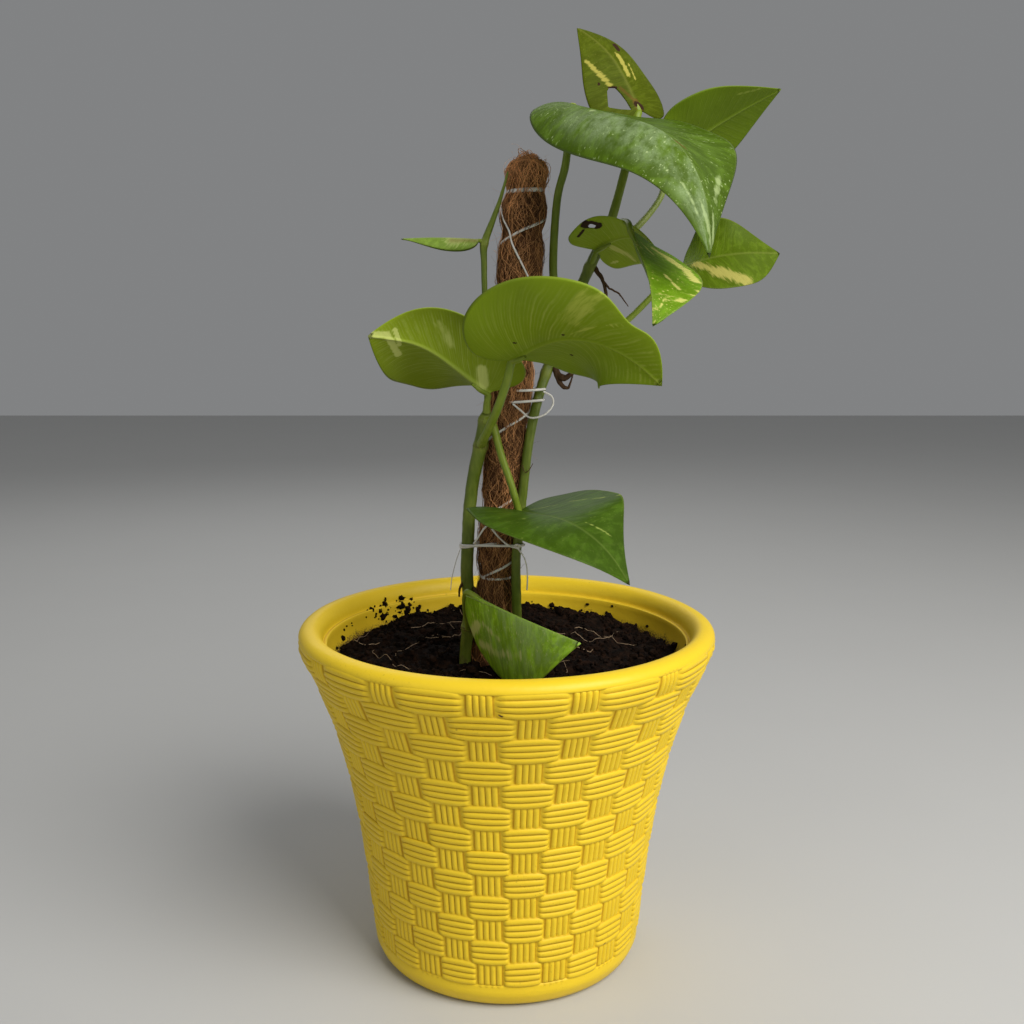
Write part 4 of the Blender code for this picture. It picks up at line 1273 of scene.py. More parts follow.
@dataclass
class Strings:
    """Pale strings: bands round the sleeve, crossing twine, and ties that hold the stems."""

    pole: CoirPole
    string: TieString = field(default_factory=TieString)
    twine: TieString = field(default_factory=lambda: TieString(slot="twine"))
    tie_radius: float = 0.60 * MM
    twine_turns: tuple[tuple[float, float], ...] = (
        (-1.25, 0.1878), (-0.15, 0.1883), (0.0, 0.1925), (1.0, 0.2232), (2.0, 0.2610), (3.0, 0.2930),
        (4.0, 0.3220), (5.0, 0.3500), (5.5, 0.3620))

    def ribbon(self, path: Array, width: float, thickness: float, outward: Array) -> Shape:
        """Carry a flat oval section along a path: width along the sleeve, thickness outwards.

        Args:
            path: points of the centre line.
            width: half width of the section.
            thickness: half thickness of the section.
            outward: direction away from the sleeve at each point.

        Returns:
            The closed ribbon.
        """
        tangent = path_frames(path)[0]
        flat = np.cross(tangent, outward)
        flat /= np.linalg.norm(flat, axis=1, keepdims=True)
        turn = circle(10)
        rings = (path[:, None] + width * np.cos(turn)[None, :, None] * flat[:, None]
                 + thickness * np.sin(turn)[None, :, None] * outward[:, None])
        return closed_skin(rings, path[0], path[-1])

    def band(self, height: float, slope: float, start: float, end: float, width: float,
             lift: float = 0.45 * MM) -> Shape:
        """A band part of the way round the sleeve.

        Args:
            height: height at its middle.
            slope: rise for each radian.
            start: first turn in degrees, 0 facing the camera.
            end: last turn in degrees.
            width: half width.
            lift: distance of its centre from the pinched sleeve.

        Returns:
            The closed band.
        """
        turn = np.radians(np.linspace(start, end, 60))
        z = height + slope * (turn - turn.mean())
        path = self.pole.wrap(turn, z, np.full(len(turn), lift))
        outward = polar(1.0, turn, 0 * turn)
        return self.ribbon(path, width, 0.32 * MM, outward)

    def crossing_twine(self) -> Shape:
        """The long twine up the sleeve, through its turns (0 faces the camera) and heights."""
        turns = np.array(self.twine_turns)
        share = np.linspace(turns[0, 0], turns[-1, 0], 560)
        turn = 2 * math.pi * share
        height = np.interp(share, turns[:, 0], turns[:, 1])
        path = self.pole.wrap(turn, height, np.full(len(turn), 0.50 * MM))
        outward = polar(1.0, turn, 0 * turn)
        return self.ribbon(path, 0.62 * MM, 0.30 * MM, outward)

    def loose(self, points: Sequence[Sequence[float]], radius: float) -> Shape:
        """A round string through points in millimetres."""
        path = smooth_path(points, 10) * MM
        return tube(path, np.full(len(path), radius), 8)

    def hug(self, circles: Sequence[tuple[float, float, float]], height: float, slope: float) -> Shape:
        """A closed string round several upright rods: the hull of their circles.

        In each direction the string touches the circle that reaches furthest.

        Args:
            circles: centre x, y and radius of each rod in millimetres.
            height: height at x = 0.
            slope: rise for each metre of x.

        Returns:
            The closed ring, slightly overlapping itself where it is knotted.
        """
        direction = np.radians(np.linspace(0, 360, 73))
        unit = np.stack([np.cos(direction), np.sin(direction)], 1)
        rods = np.array(circles) * MM
        reach = unit @ rods[:, :2].T + rods[:, 2]
        held = rods[np.argmax(reach, 1)]
        flat = held[:, :2] + (held[:, 2:] + 0.75 * self.tie_radius) * unit
        z = height + slope * flat[:, 0]
        path = smooth_path(np.column_stack([flat, z]), 3)
        return tube(path, np.full(len(path), self.tie_radius), 8)

    def build(self) -> None:
        """Make the twine and both ties with their loops, knot and tail."""
        pale, worn = self.string.material(), self.twine.material()
        bands = [self.crossing_twine(),
                 self.band(0.3676, 0.4 * MM, -178, 178, 1.0 * MM),
                 self.band(0.3375, -18.0 * MM, -80, 72, 0.45 * MM, 0.9 * MM)]
        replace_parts(join(bands).to_object("twine_bands", worn, self.twine.slot), "pole_twine")
        lower = [self.hug(((-3.6, 0.0, 9.0), (-18.3, -5.5, 3.2),
                           (5.3, -9.25, 2.4)), 0.2050, 0.02),
                 self.hug(((-18.3, -5.5, 3.2), (-6.0, -5.5, 3.0)),
                          0.2062, 0.12),
                 self.loose(((-15.5, -8.7, 205.5), (-13.8, -9.6, 208.0), (-11.0, -10.4, 212.5),
                             (-9.0, -9.8, 214.5)), 0.45 * MM),
                 self.loose(((-7.0, -10.6, 213.0), (-3.0, -11.4, 208.5), (1.5, -12.6, 205.2),
                             (5.6, -12.6, 204.4), (7.4, -11.4, 205.6)), 0.45 * MM),
                 self.loose(((4.6, -12.4, 204.8), (6.2, -13.2, 203.0), (8.4, -13.4, 199.5),
                             (9.6, -13.2, 195.0), (9.9, -13.0, 190.0), (9.7, -12.8, 184.0)), 0.35 * MM),
                 self.loose(((-20.6, -8.0, 205.0), (-22.4, -8.6, 201.5), (-24.2, -8.8, 196.0),
                             (-25.9, -9.0, 189.0), (-26.6, -9.2, 183.0)), 0.20 * MM),
                 self.loose(((4.0, -12.4, 205.4), (5.4, -13.3, 205.9), (6.4, -12.6, 204.9),
                             (5.2, -12.2, 204.0), (4.1, -12.9, 204.6)), 0.55 * MM)]
        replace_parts(join(lower).to_object("tie_lower_string", pale, self.string.slot), "tie_lower")
        upper = [self.hug(((5.6, -2.6, 6.9), (14.2, -4.0, 2.6)), 0.2722, 0.05),
                 self.hug(((8.6, -3.0, 6.2), (14.8, -3.4, 2.6)), 0.2775, 0.03),
                 self.loose(((3.0, -10.4, 271.6), (6.5, -11.6, 268.8), (10.5, -12.4, 265.6),
                             (15.0, -12.2, 265.8), (19.0, -10.8, 267.8), (21.6, -8.8, 271.5),
                             (20.8, -7.0, 275.0), (17.2, -6.2, 277.0)), 0.45 * MM)]
        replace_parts(join(upper).to_object("tie_upper_string", pale, self.string.slot), "tie_upper")


# Stems


@dataclass(frozen=True)
class Stem:
    """A climbing stem: rows of x, y, z and radius in millimetres, and its joints' heights."""

    name: str
    rows: tuple[tuple[float, float, float, float], ...]
    joints: tuple[float, ...]
    sides: int = 28
    per_span: int = 22

    def shape(self) -> Shape:
        """Carry a ridged section along the path, swollen into a scarred ring at each joint.

        The radius is r (1 + ridges + 0.06 noise + 0.12 swell + 0.05 ring), where swell and ring are
        bell curves of the height from the nearest joint, 2 mm and 0.45 mm wide.
        """
        rows = smooth_path(self.rows, self.per_span) * MM
        path, radius = rows[:, :3], rows[:, 3]
        away = np.min(np.abs(path[:, 2:] - np.array(self.joints) * MM), 1)
        swell = bell(away, 2.0 * MM)
        turn = circle(self.sides)
        ridges = 0.030 * np.cos(5 * turn)[None] + 0.03 * np.cos(3 * turn + 1)[None]
        bumps = lattice_noise(path[:, None] + 0.002 * np.stack(
            [np.cos(turn), np.sin(turn), 0 * turn], -1)[None], 420.0, 3, 3)
        ring = bell(away - 0.6 * MM, 0.45 * MM)
        relief = 1 + ridges + 0.06 * bumps + (0.12 * swell + 0.05 * ring)[:, None]
        brown = 0.22 * ring + 0.25 * swell + 0.45 * ramp(path[:, 2], 0.168, -0.02)
        light = 0.35 + 0.45 * swell
        return tube(path, radius, self.sides, relief, {"brown": brown, "light": light})


@dataclass(frozen=True)
class AerialRoot:
    """A curled brown root or dry sheath that springs from a stem, in millimetres."""

    rows: tuple[tuple[float, float, float, float], ...]

    def shape(self) -> Shape:
        """Carry a knobbly section along the path."""
        rows = smooth_path(self.rows, 14) * MM
        path = rows[:, :3]
        knots = lattice_noise(path, 500.0, 9, 3)
        path = path + 0.35 * MM * np.stack([knots, np.roll(knots, 7), np.roll(knots, 13)], -1)
        turn = circle(12)
        relief = 1 + 0.18 * knots[:, None] + 0.10 * np.cos(3 * turn)[None]
        fill = np.ones(len(path))
        return tube(path, rows[:, 3], 12, relief, {"brown": fill, "light": 0.1 * fill})


@dataclass
class Stems:
    """Both climbing stems, their aerial roots and dry sheaths."""

    skin: StemSkin = field(default_factory=StemSkin)
    left: Stem = Stem("vine_left", (
        (-21.5, -5, 120, 2.6), (-19.8, -5, 150, 2.8), (-18.3, -4.6, 163, 3.2),
        (-17.6, -4, 173.9, 3.0), (-18.9, -5, 189.5, 3.0), (-18.3, -5.5, 204.7, 3.0),
        (-17.5, -6, 220.2, 3.0), (-15.5, -7.5, 236.1, 3.0), (-12.1, -9.5, 251.6, 3.2),
        (-9.8, -10, 264, 3.0), (-8.9, -9, 272, 1.5), (-8.9, -8.5, 296.3, 1.35),
        (-9.8, -8, 318.8, 1.3), (-10.2, -7.5, 335.8, 1.4), (-10, -7.5, 343.8, 1.7),
        (-6.1, -8, 354.4, 1.3), (-2.9, -9, 362.9, 0.9), (0.7, -10, 375.2, 0.4)),
        (163.0, 252.0, 264.0, 343.8))
    right: Stem = Stem("vine_right", (
        (5.4, -8, 115, 2.2), (5.3, -8.5, 150, 2.3), (5.1, -9, 166.7, 2.3), (4.6, -9.3, 196.6, 2.2),
        (6, -9.2, 211.2, 2.2), (7.3, -9, 225.7, 2.2), (10.1, -7.9, 250.8, 2.2),
        (13.4, -4.8, 268.1, 2.3), (17.5, 0.5, 282, 2.4), (24, 6, 299, 2.7), (28, 7, 309, 2.3),
        (37.5, 6, 331, 2.5), (43, 5.5, 343, 2.5), (47.5, 6.8, 353, 2.2)),
        (211.0, 285.0, 306.0, 334.0, 346.0))
    roots: tuple[tuple[AerialRoot, ...], ...] = (
        (AerialRoot(((-20.8, -6.0, 186, 0.9), (-22.2, -8.0, 183.5, 0.6), (-22.6, -9.2, 180, 0.4))),
         AerialRoot(((-15.8, -7.2, 184, 0.8), (-14.0, -9.0, 181, 0.7), (-13.2, -9.8, 176, 0.6),
                     (-14.2, -10.2, 171, 0.5), (-12.6, -10.6, 166, 0.4), (-12.8, -10.4, 161, 0.3)))),
        (AerialRoot(((21, 4, 291, 1.2), (24, 1, 285, 1.6), (27, -2, 283, 1.5), (31, -4, 286, 0.9),
                     (34, -5, 292, 0.5), (36, -6, 291, 0.3))),
         AerialRoot(((22, 2, 289, 1.0), (25.0, -1.0, 281.0, 1.2), (28.5, -3.0, 278.5, 0.7),
                     (30.5, -4.0, 283, 0.4), (31.5, -4.4, 288.5, 0.3))),
         AerialRoot(((40, 6, 336, 1.0), (45, 3, 327, 0.8), (47, 2, 318, 0.7), (51, 2, 314, 0.6),
                     (50, 1.4, 309.5, 0.3))),
         AerialRoot(((41, 5, 333, 0.7), (47, 1.8, 325, 0.5), (52.5, 1.2, 321.5, 0.4),
                     (56.5, 1.0, 316.0, 0.2))),
         AerialRoot(((7.2, -10.4, 243, 0.25), (8.6, -12.0, 240, 0.2), (10.4, -12.4, 241, 0.2),
                     (12.2, -11.6, 244, 0.15)))))

    def build(self) -> None:
        """Make each stem with its roots."""
        material = self.skin.material()
        for stem, roots in zip((self.left, self.right), self.roots):
            shape = join([stem.shape(), *(root.shape() for root in roots)])
            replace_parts(shape.to_object(stem.name + "_skin", material, self.skin.slot), stem.name)


# Leaves


WIDEST_AT = 0.38
VEIN_LEAN = 0.42


@dataclass(frozen=True)
class Leaf:
    """One heart-shaped blade and its petiole: lengths in millimetres and angles in degrees.

    The midrib starts at base, runs along heading (about Z) and pitch (above the horizontal), and
    falls by droop and turns by sweep around the fraction bend of its length. The fold, curl and
    tip values bend the left and right halves up from the midrib plane.
    """

    name: str
    base: tuple[float, float, float]
    heading: float
    pitch: float
    roll: float
    length: float
    width: float
    lobe: tuple[float, float]
    droop: float
    bend: float
    spread: float
    sweep: float
    twist: float
    fold: tuple[float, float]
    curl: tuple[float, float]
    tip: tuple[float, float]
    skew: float
    petiole: tuple[tuple[float, float, float], ...]
    petiole_radius: float
    skin: LeafSkin
    marks: tuple[Mark, ...] = ()
    holes: tuple[tuple[tuple[float, float], ...], ...] = ()
    petiole_skin: StemSkin = StemSkin(green=(0.140, 0.205, 0.010), pale=(0.24, 0.29, 0.035))
    wave: float = 0.55
    lean: float = VEIN_LEAN
    dents: tuple[tuple[int, float, float, float], ...] = ()
    seed: int = 1
    stations: int = 96
    strips: int = 38
    thickness: float = 0.62 * MM

    def margin(self, share: Array, side: int) -> tuple[Array, Array]:
        """Outline along and across the midrib, at a share of the way from base to tip.

        Across is half the width times 1.5 sqrt(3) s (1 - s^2); along is L (s^2 - lobe bulge), with
        bulge = u exp((1 - u^2) / 2) (1 - s^2) and u = s / 0.38, which draws the heart's lobes back.
        A dent on a side narrows it by depth exp(-((s - middle) / spread)^2).
        """
        scaled = share / WIDEST_AT
        bulge = scaled * np.exp(0.5 * (1 - scaled ** 2)) * (1 - share ** 2)
        along = self.length * (share ** 2 - self.lobe[side] * bulge)
        across = self.width / 2 * 1.5 * math.sqrt(3) * share * (1 - share ** 2)
        for dented, middle, spread, depth in self.dents:
            if dented == side:
                across = across * (1 - depth * bell(share - middle, spread))
        return along * MM, across * MM

    def frames(self, count: int = 160) -> tuple[Array, ...]:
        """Distance, place, tangent, left direction and upper normal along the midrib."""
        x = np.linspace(0, 1, count + 1)
        ease = np.clip((x - self.bend + self.spread) / (2 * self.spread), 0, 1)
        ease = eased(ease)
        heading = np.radians(self.heading + self.sweep * ease)
        pitch = np.radians(self.pitch - self.droop * ease)
        roll = np.radians(self.roll + self.twist * x)[:, None]
        tangent = np.stack([np.cos(pitch) * np.cos(heading), np.cos(pitch) * np.sin(heading),
                            np.sin(pitch)], 1)
        level = np.stack([-np.sin(heading), np.cos(heading), 0 * heading], 1)
        upright = np.cross(tangent, level)
        left = level * np.cos(roll) + upright * np.sin(roll)
        normal = upright * np.cos(roll) - level * np.sin(roll)
        step = self.length * MM / count
        path = np.vstack([np.zeros(3), np.cumsum(0.5 * (tangent[1:] + tangent[:-1]) * step, 0)])
        return x * self.length * MM, path + np.array(self.base) * MM, tangent, left, normal

    def place(self, along: Array, across: Array) -> Array:
        """Map flat leaf coordinates to space, with the blade's droop, folds and curls.

        A half starts at its fold angle and bends on by its curl: after a distance q it has moved
        (sin(f + cq) - sin f) / c sideways and (cos f - cos(f + cq)) / c upwards.
        """
        distance, path, tangent, left, normal = self.frames()
        held = np.clip(along, 0, distance[-1])

        def at(values: Array) -> Array:
            """Read a row of vectors at the held distances."""
            return np.stack([np.interp(held, distance, values[:, i]) for i in range(3)], -1)

        is_left = across >= 0
        share = held / distance[-1]
        fold = np.radians(np.where(is_left, self.fold[0] + self.tip[0] * share,
                                   self.fold[1] + self.tip[1] * share))
        bend = np.radians(np.where(is_left, self.curl[0], self.curl[1])) / (self.width / 2 * MM)
        bend = np.where(np.abs(bend) < 1e-3, 1e-3, bend)
        out = np.abs(across) * np.where(is_left, 1 + self.skew, 1 - self.skew)
        sideways = (np.sin(fold + bend * out) - np.sin(fold)) / bend
        upwards = (np.cos(fold) - np.cos(fold + bend * out)) / bend
        origin = at(path) + at(tangent) * (along - held)[..., None]
        return (origin + at(left) * (np.sign(across) * sideways)[..., None]
                + at(normal) * upwards[..., None])

    def upward(self, along: Array, across: Array, step: float = 0.45 * MM) -> Array:
        """Unit normal of the upper face, from small steps along and across."""
        forward = self.place(along + step, across) - self.place(along - step, across)
        sideways = self.place(along, across + step) - self.place(along, across - step)
        normal = np.cross(forward, sideways)
        return normal / (np.linalg.norm(normal, axis=-1, keepdims=True) + 1e-12)

    def flat_grid(self) -> tuple[Array, Array, Array, Array]:
        """Share, signed side (-1 to 1), and flat coordinates of the blade's grid, poles left out."""
        share = np.linspace(0, 1, self.stations + 1)[1:-1]
        step = np.linspace(-1, 1, 2 * self.strips + 1)
        side = np.sign(step) * (0.45 * np.abs(step) + 0.55 * step ** 2)
        start = (self.length * MM * share ** 2)[:, None]
        along = np.empty((len(share), len(side)))
        across = np.empty_like(along)
        for half, chosen in ((1, side < 0), (0, side >= 0)):
            edge_along, edge_across = self.margin(share, half)
            out = np.abs(side[chosen])[None]
            along[:, chosen] = start + (edge_along[:, None] - start) * out ** 1.4
            across[:, chosen] = np.sign(side[chosen]) * edge_across[:, None] * out
        return share, side, along, across

    def marked(self, along: Array, across: Array, kind: MarkKind) -> Array:
        """Strength of one kind of mark: exp(-(d / width)^2) of the distance d to its line."""
        total = np.zeros_like(along)
        for mark in (m for m in self.marks if m.kind is kind):
            start, end = np.array(mark.start) * MM, np.array(mark.end) * MM
            line = end - start
            length = max(float(line @ line), 1e-12)
            reach = (along - start[0]) * line[0] + (across - start[1]) * line[1]
            share = np.clip(reach / length, 0, 1)
            gap = np.hypot(along - start[0] - share * line[0], across - start[1] - share * line[1])
            total = np.maximum(total, mark.strength * bell(gap, mark.width * MM))
        return total

    def waves(self, share: Array, side: Array) -> Array:
        """Gentle undulation, growing to the margin, and quilting between the side veins."""
        out = np.abs(side)
        phase = share - self.lean * out * (1 - share)
        random = np.random.default_rng(self.seed)
        turns = random.uniform(0, 2 * math.pi, 4)
        hand = np.where(side < 0, turns[0], turns[1])
        lazy = (np.sin(2 * math.pi * 1.7 * share + hand)
                + 0.6 * np.sin(2 * math.pi * 3.6 * share + 2 * hand))
        quilt = 0.03 * np.cos(2 * math.pi * SIDE_VEINS * phase) * np.clip(out * 6, 0, 1) * (1 - out ** 4)
        calm = np.sin(np.pi * np.clip(share, 0, 1)) ** 0.7
        return (self.wave * lazy * out ** 2 * calm + quilt * calm) * MM

    def blade(self) -> Shape:
        """The blade: an upper and a lower face that share their margin.

        Half the thickness is t / 2 sqrt(1 - side^8); a rib exp(-(d / w)^2) stands below the midrib
        and a shallow furrow lies above it.
        """
        share, side, along, across = self.flat_grid()
        inside = self.cut_holes(along, across)
        shares = np.broadcast_to(share[:, None], along.shape)
        sides = np.broadcast_to(side[None], along.shape)
        middle = self.place(along, across)
        normal = self.upward(along, across)
        middle = middle + normal * self.waves(shares, sides)[..., None]
        half = 0.5 * self.thickness * np.sqrt(np.clip(1 - sides ** 8, 0, 1))
        taper = 1 - 0.82 * shares
        rib_width = (0.45 + 0.75 * taper) * self.petiole_radius / 1.6 * MM
        rib = bell(across, rib_width)
        upper = middle + normal * (half - 0.34 * MM * taper * rib)[..., None]
        lower = middle - normal * (half + 1.05 * self.petiole_radius * MM * taper * rib)[..., None]
        rings = np.concatenate([upper, lower[:, -2:0:-1]], 1)

        def both(values: Array) -> Array:
            """Repeat values of the upper face on the lower one."""
            return np.concatenate([values, values[:, -2:0:-1]], 1)

        under = np.concatenate([0 * sides, 1 + 0 * sides[:, -2:0:-1]], 1)
        under[:, [0, 2 * self.strips]] = 0.5
        out = np.abs(sides)
        values = {"share": both(shares), "side": both(out), "hand": both(np.where(sides < 0, 0.0, 1.0)),
                  "phase": both(shares - self.lean * out * (1 - shares)), "under": under,
                  "rib": both(bell(across, 0.75 * MM * (0.5 + taper))),
                  **{kind.value: both(self.marked(along, across, kind)) for kind in MarkKind}}
        ends = [self.place(np.array([d]), np.zeros(1))[0] for d in (0.0, self.length * MM)]
        shape = closed_skin(rings, *ends, values)
        return self.opened(shape, inside) if inside.any() else shape

    def cut_holes(self, along: Array, across: Array) -> Array:
        """Find the grid cells inside the holes and draw the cells' rims onto the holes' outlines.

        Args:
            along: flat coordinates, changed in place at the rims.
            across: flat coordinates, changed in place at the rims.

        Returns:
            True for each cell that is cut away.
        """
        cells = np.zeros((along.shape[0] - 1, along.shape[1] - 1), bool)
        for hole in self.holes:
            outline = np.array(hole) * MM
            mid = [0.25 * (v[:-1, :-1] + v[1:, :-1] + v[:-1, 1:] + v[1:, 1:]) for v in (along, across)]
            cut = in_polygon(*mid, outline)
            cells |= cut
            touched = np.zeros(along.shape, int)
            for di in (0, 1):
                for dj in (0, 1):
                    touched[di:along.shape[0] - 1 + di, dj:along.shape[1] - 1 + dj] += cut
            rim = (touched > 0) & (touched < 4)
            along[rim], across[rim] = nearest_on_outline(along[rim], across[rim], outline)
        return cells

    def opened(self, shape: Shape, cells: Array) -> Shape:
        """Remove cut cells from both faces and wall up the rims between the faces.

        Args:
            shape: the closed blade.
            cells: the cells to remove.

        Returns:
            The blade with holes.
        """
        columns = 4 * self.strips
        i, j = np.nonzero(cells)
        keep = np.ones(len(shape.quads), bool)
        keep[i * columns + j] = False
        keep[i * columns + columns - j - 1] = False
        quads = [shape.quads[keep]]
        grid = np.pad(cells, 1)
        for di, dj, a, b in ((-1, 0, (0, 0), (0, 1)), (1, 0, (1, 0), (1, 1)),
                             (0, -1, (0, 0), (1, 0)), (0, 1, (0, 1), (1, 1))):
            edge = cells & ~grid[1 + di:1 + di + cells.shape[0], 1 + dj:1 + dj + cells.shape[1]]
            ei, ej = np.nonzero(edge)
            up_a, up_b = ((ei + s) * columns + ej + t for s, t in (a, b))
            low_a, low_b = ((ei + s) * columns + (columns - ej - t) % columns for s, t in (a, b))
            quads.append(np.stack([up_a, up_b, low_b, low_a], 1))
        faces = np.vstack(quads)
        used = np.unique(np.concatenate([faces.ravel(), shape.triangles.ravel()]))
        fresh = np.full(len(shape.points), -1)
        fresh[used] = np.arange(len(used))
        return Shape(shape.points[used], fresh[faces], fresh[shape.triangles],
                     {name: numbers[used] for name, numbers in shape.values.items()})

    def stalk(self) -> Shape:
        """The petiole: a grooved round section from the stem into the rib under the blade."""
        ahead = np.array([-0.6, 4.0, 9.0]) * MM
        under = self.place(ahead, np.zeros(3)) - self.upward(ahead, np.zeros(3)) * np.array(
            [[0.72], [1.0], [1.2]]) * self.petiole_radius * MM
        radius = self.petiole_radius * np.array([0.92, 0.76, 0.36])
        rows = [(*point, self.petiole_radius) for point in self.petiole]
        rows += [(*(place / MM), r) for place, r in zip(under, radius)]
        rows = smooth_path(rows, 16) * MM
        path = rows[:, :3]
        along = np.linspace(0, 1, len(path))
        knee = bell(along - 0.80, 0.07)
        turn = circle(22)
        sheath = np.clip(1 - along / 0.45, 0, 1)
        relief = (1 + (0.10 * knee + 0.28 * sheath ** 2)[:, None]
                  + 0.05 * np.cos(2 * turn)[None] + 0.04 * np.cos(7 * turn)[None]
                  + 0.05 * lattice_noise(path, 300.0, self.seed, 2)[:, None])
        return tube(path, rows[:, 3], 22, relief,
                    {"brown": 0.20 * sheath ** 2, "light": 0.30 + 0.35 * knee + 0.25 * sheath})

    def build(self) -> None:
        """Make the blade and its petiole in place of the CAD leaf."""
        blade = self.blade().to_object(self.name + "_blade", self.skin.material(self.name + "_skin"),
                                       self.name, recalculate=bool(self.holes))
        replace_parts(blade, self.name)
        self.stalk().to_object(self.name + "_petiole", self.petiole_skin.material(), self.name)


def in_polygon(x: Array, y: Array, outline: Array) -> Array:
    """True where a point lies inside an outline: a ray from it crosses an odd number of sides."""
    inside = np.zeros(x.shape, bool)
    for (ax, ay), (bx, by) in zip(outline, np.roll(outline, -1, 0)):
        crosses = (ay > y) != (by > y)
        reach = ax + (y - ay) * (bx - ax) / (by - ay + 1e-15)
        inside ^= crosses & (x < reach)
    return inside


def nearest_on_outline(x: Array, y: Array, outline: Array) -> tuple[Array, Array]:
    """Move points to the nearest place on a closed outline."""
    points = np.stack([x, y], -1)
    best, found = np.full(len(x), np.inf), points.copy()
    for start, end in zip(outline, np.roll(outline, -1, 0)):
        line = end - start
        share = np.clip((points - start) @ line / (line @ line), 0, 1)
        place = start + share[:, None] * line
        gap = np.linalg.norm(points - place, axis=1)
        found[gap < best] = place[gap < best]
        best = np.minimum(best, gap)
    return found[:, 0], found[:, 1]


BROWN = MarkKind.BROWN
RUST = MarkKind.RUST

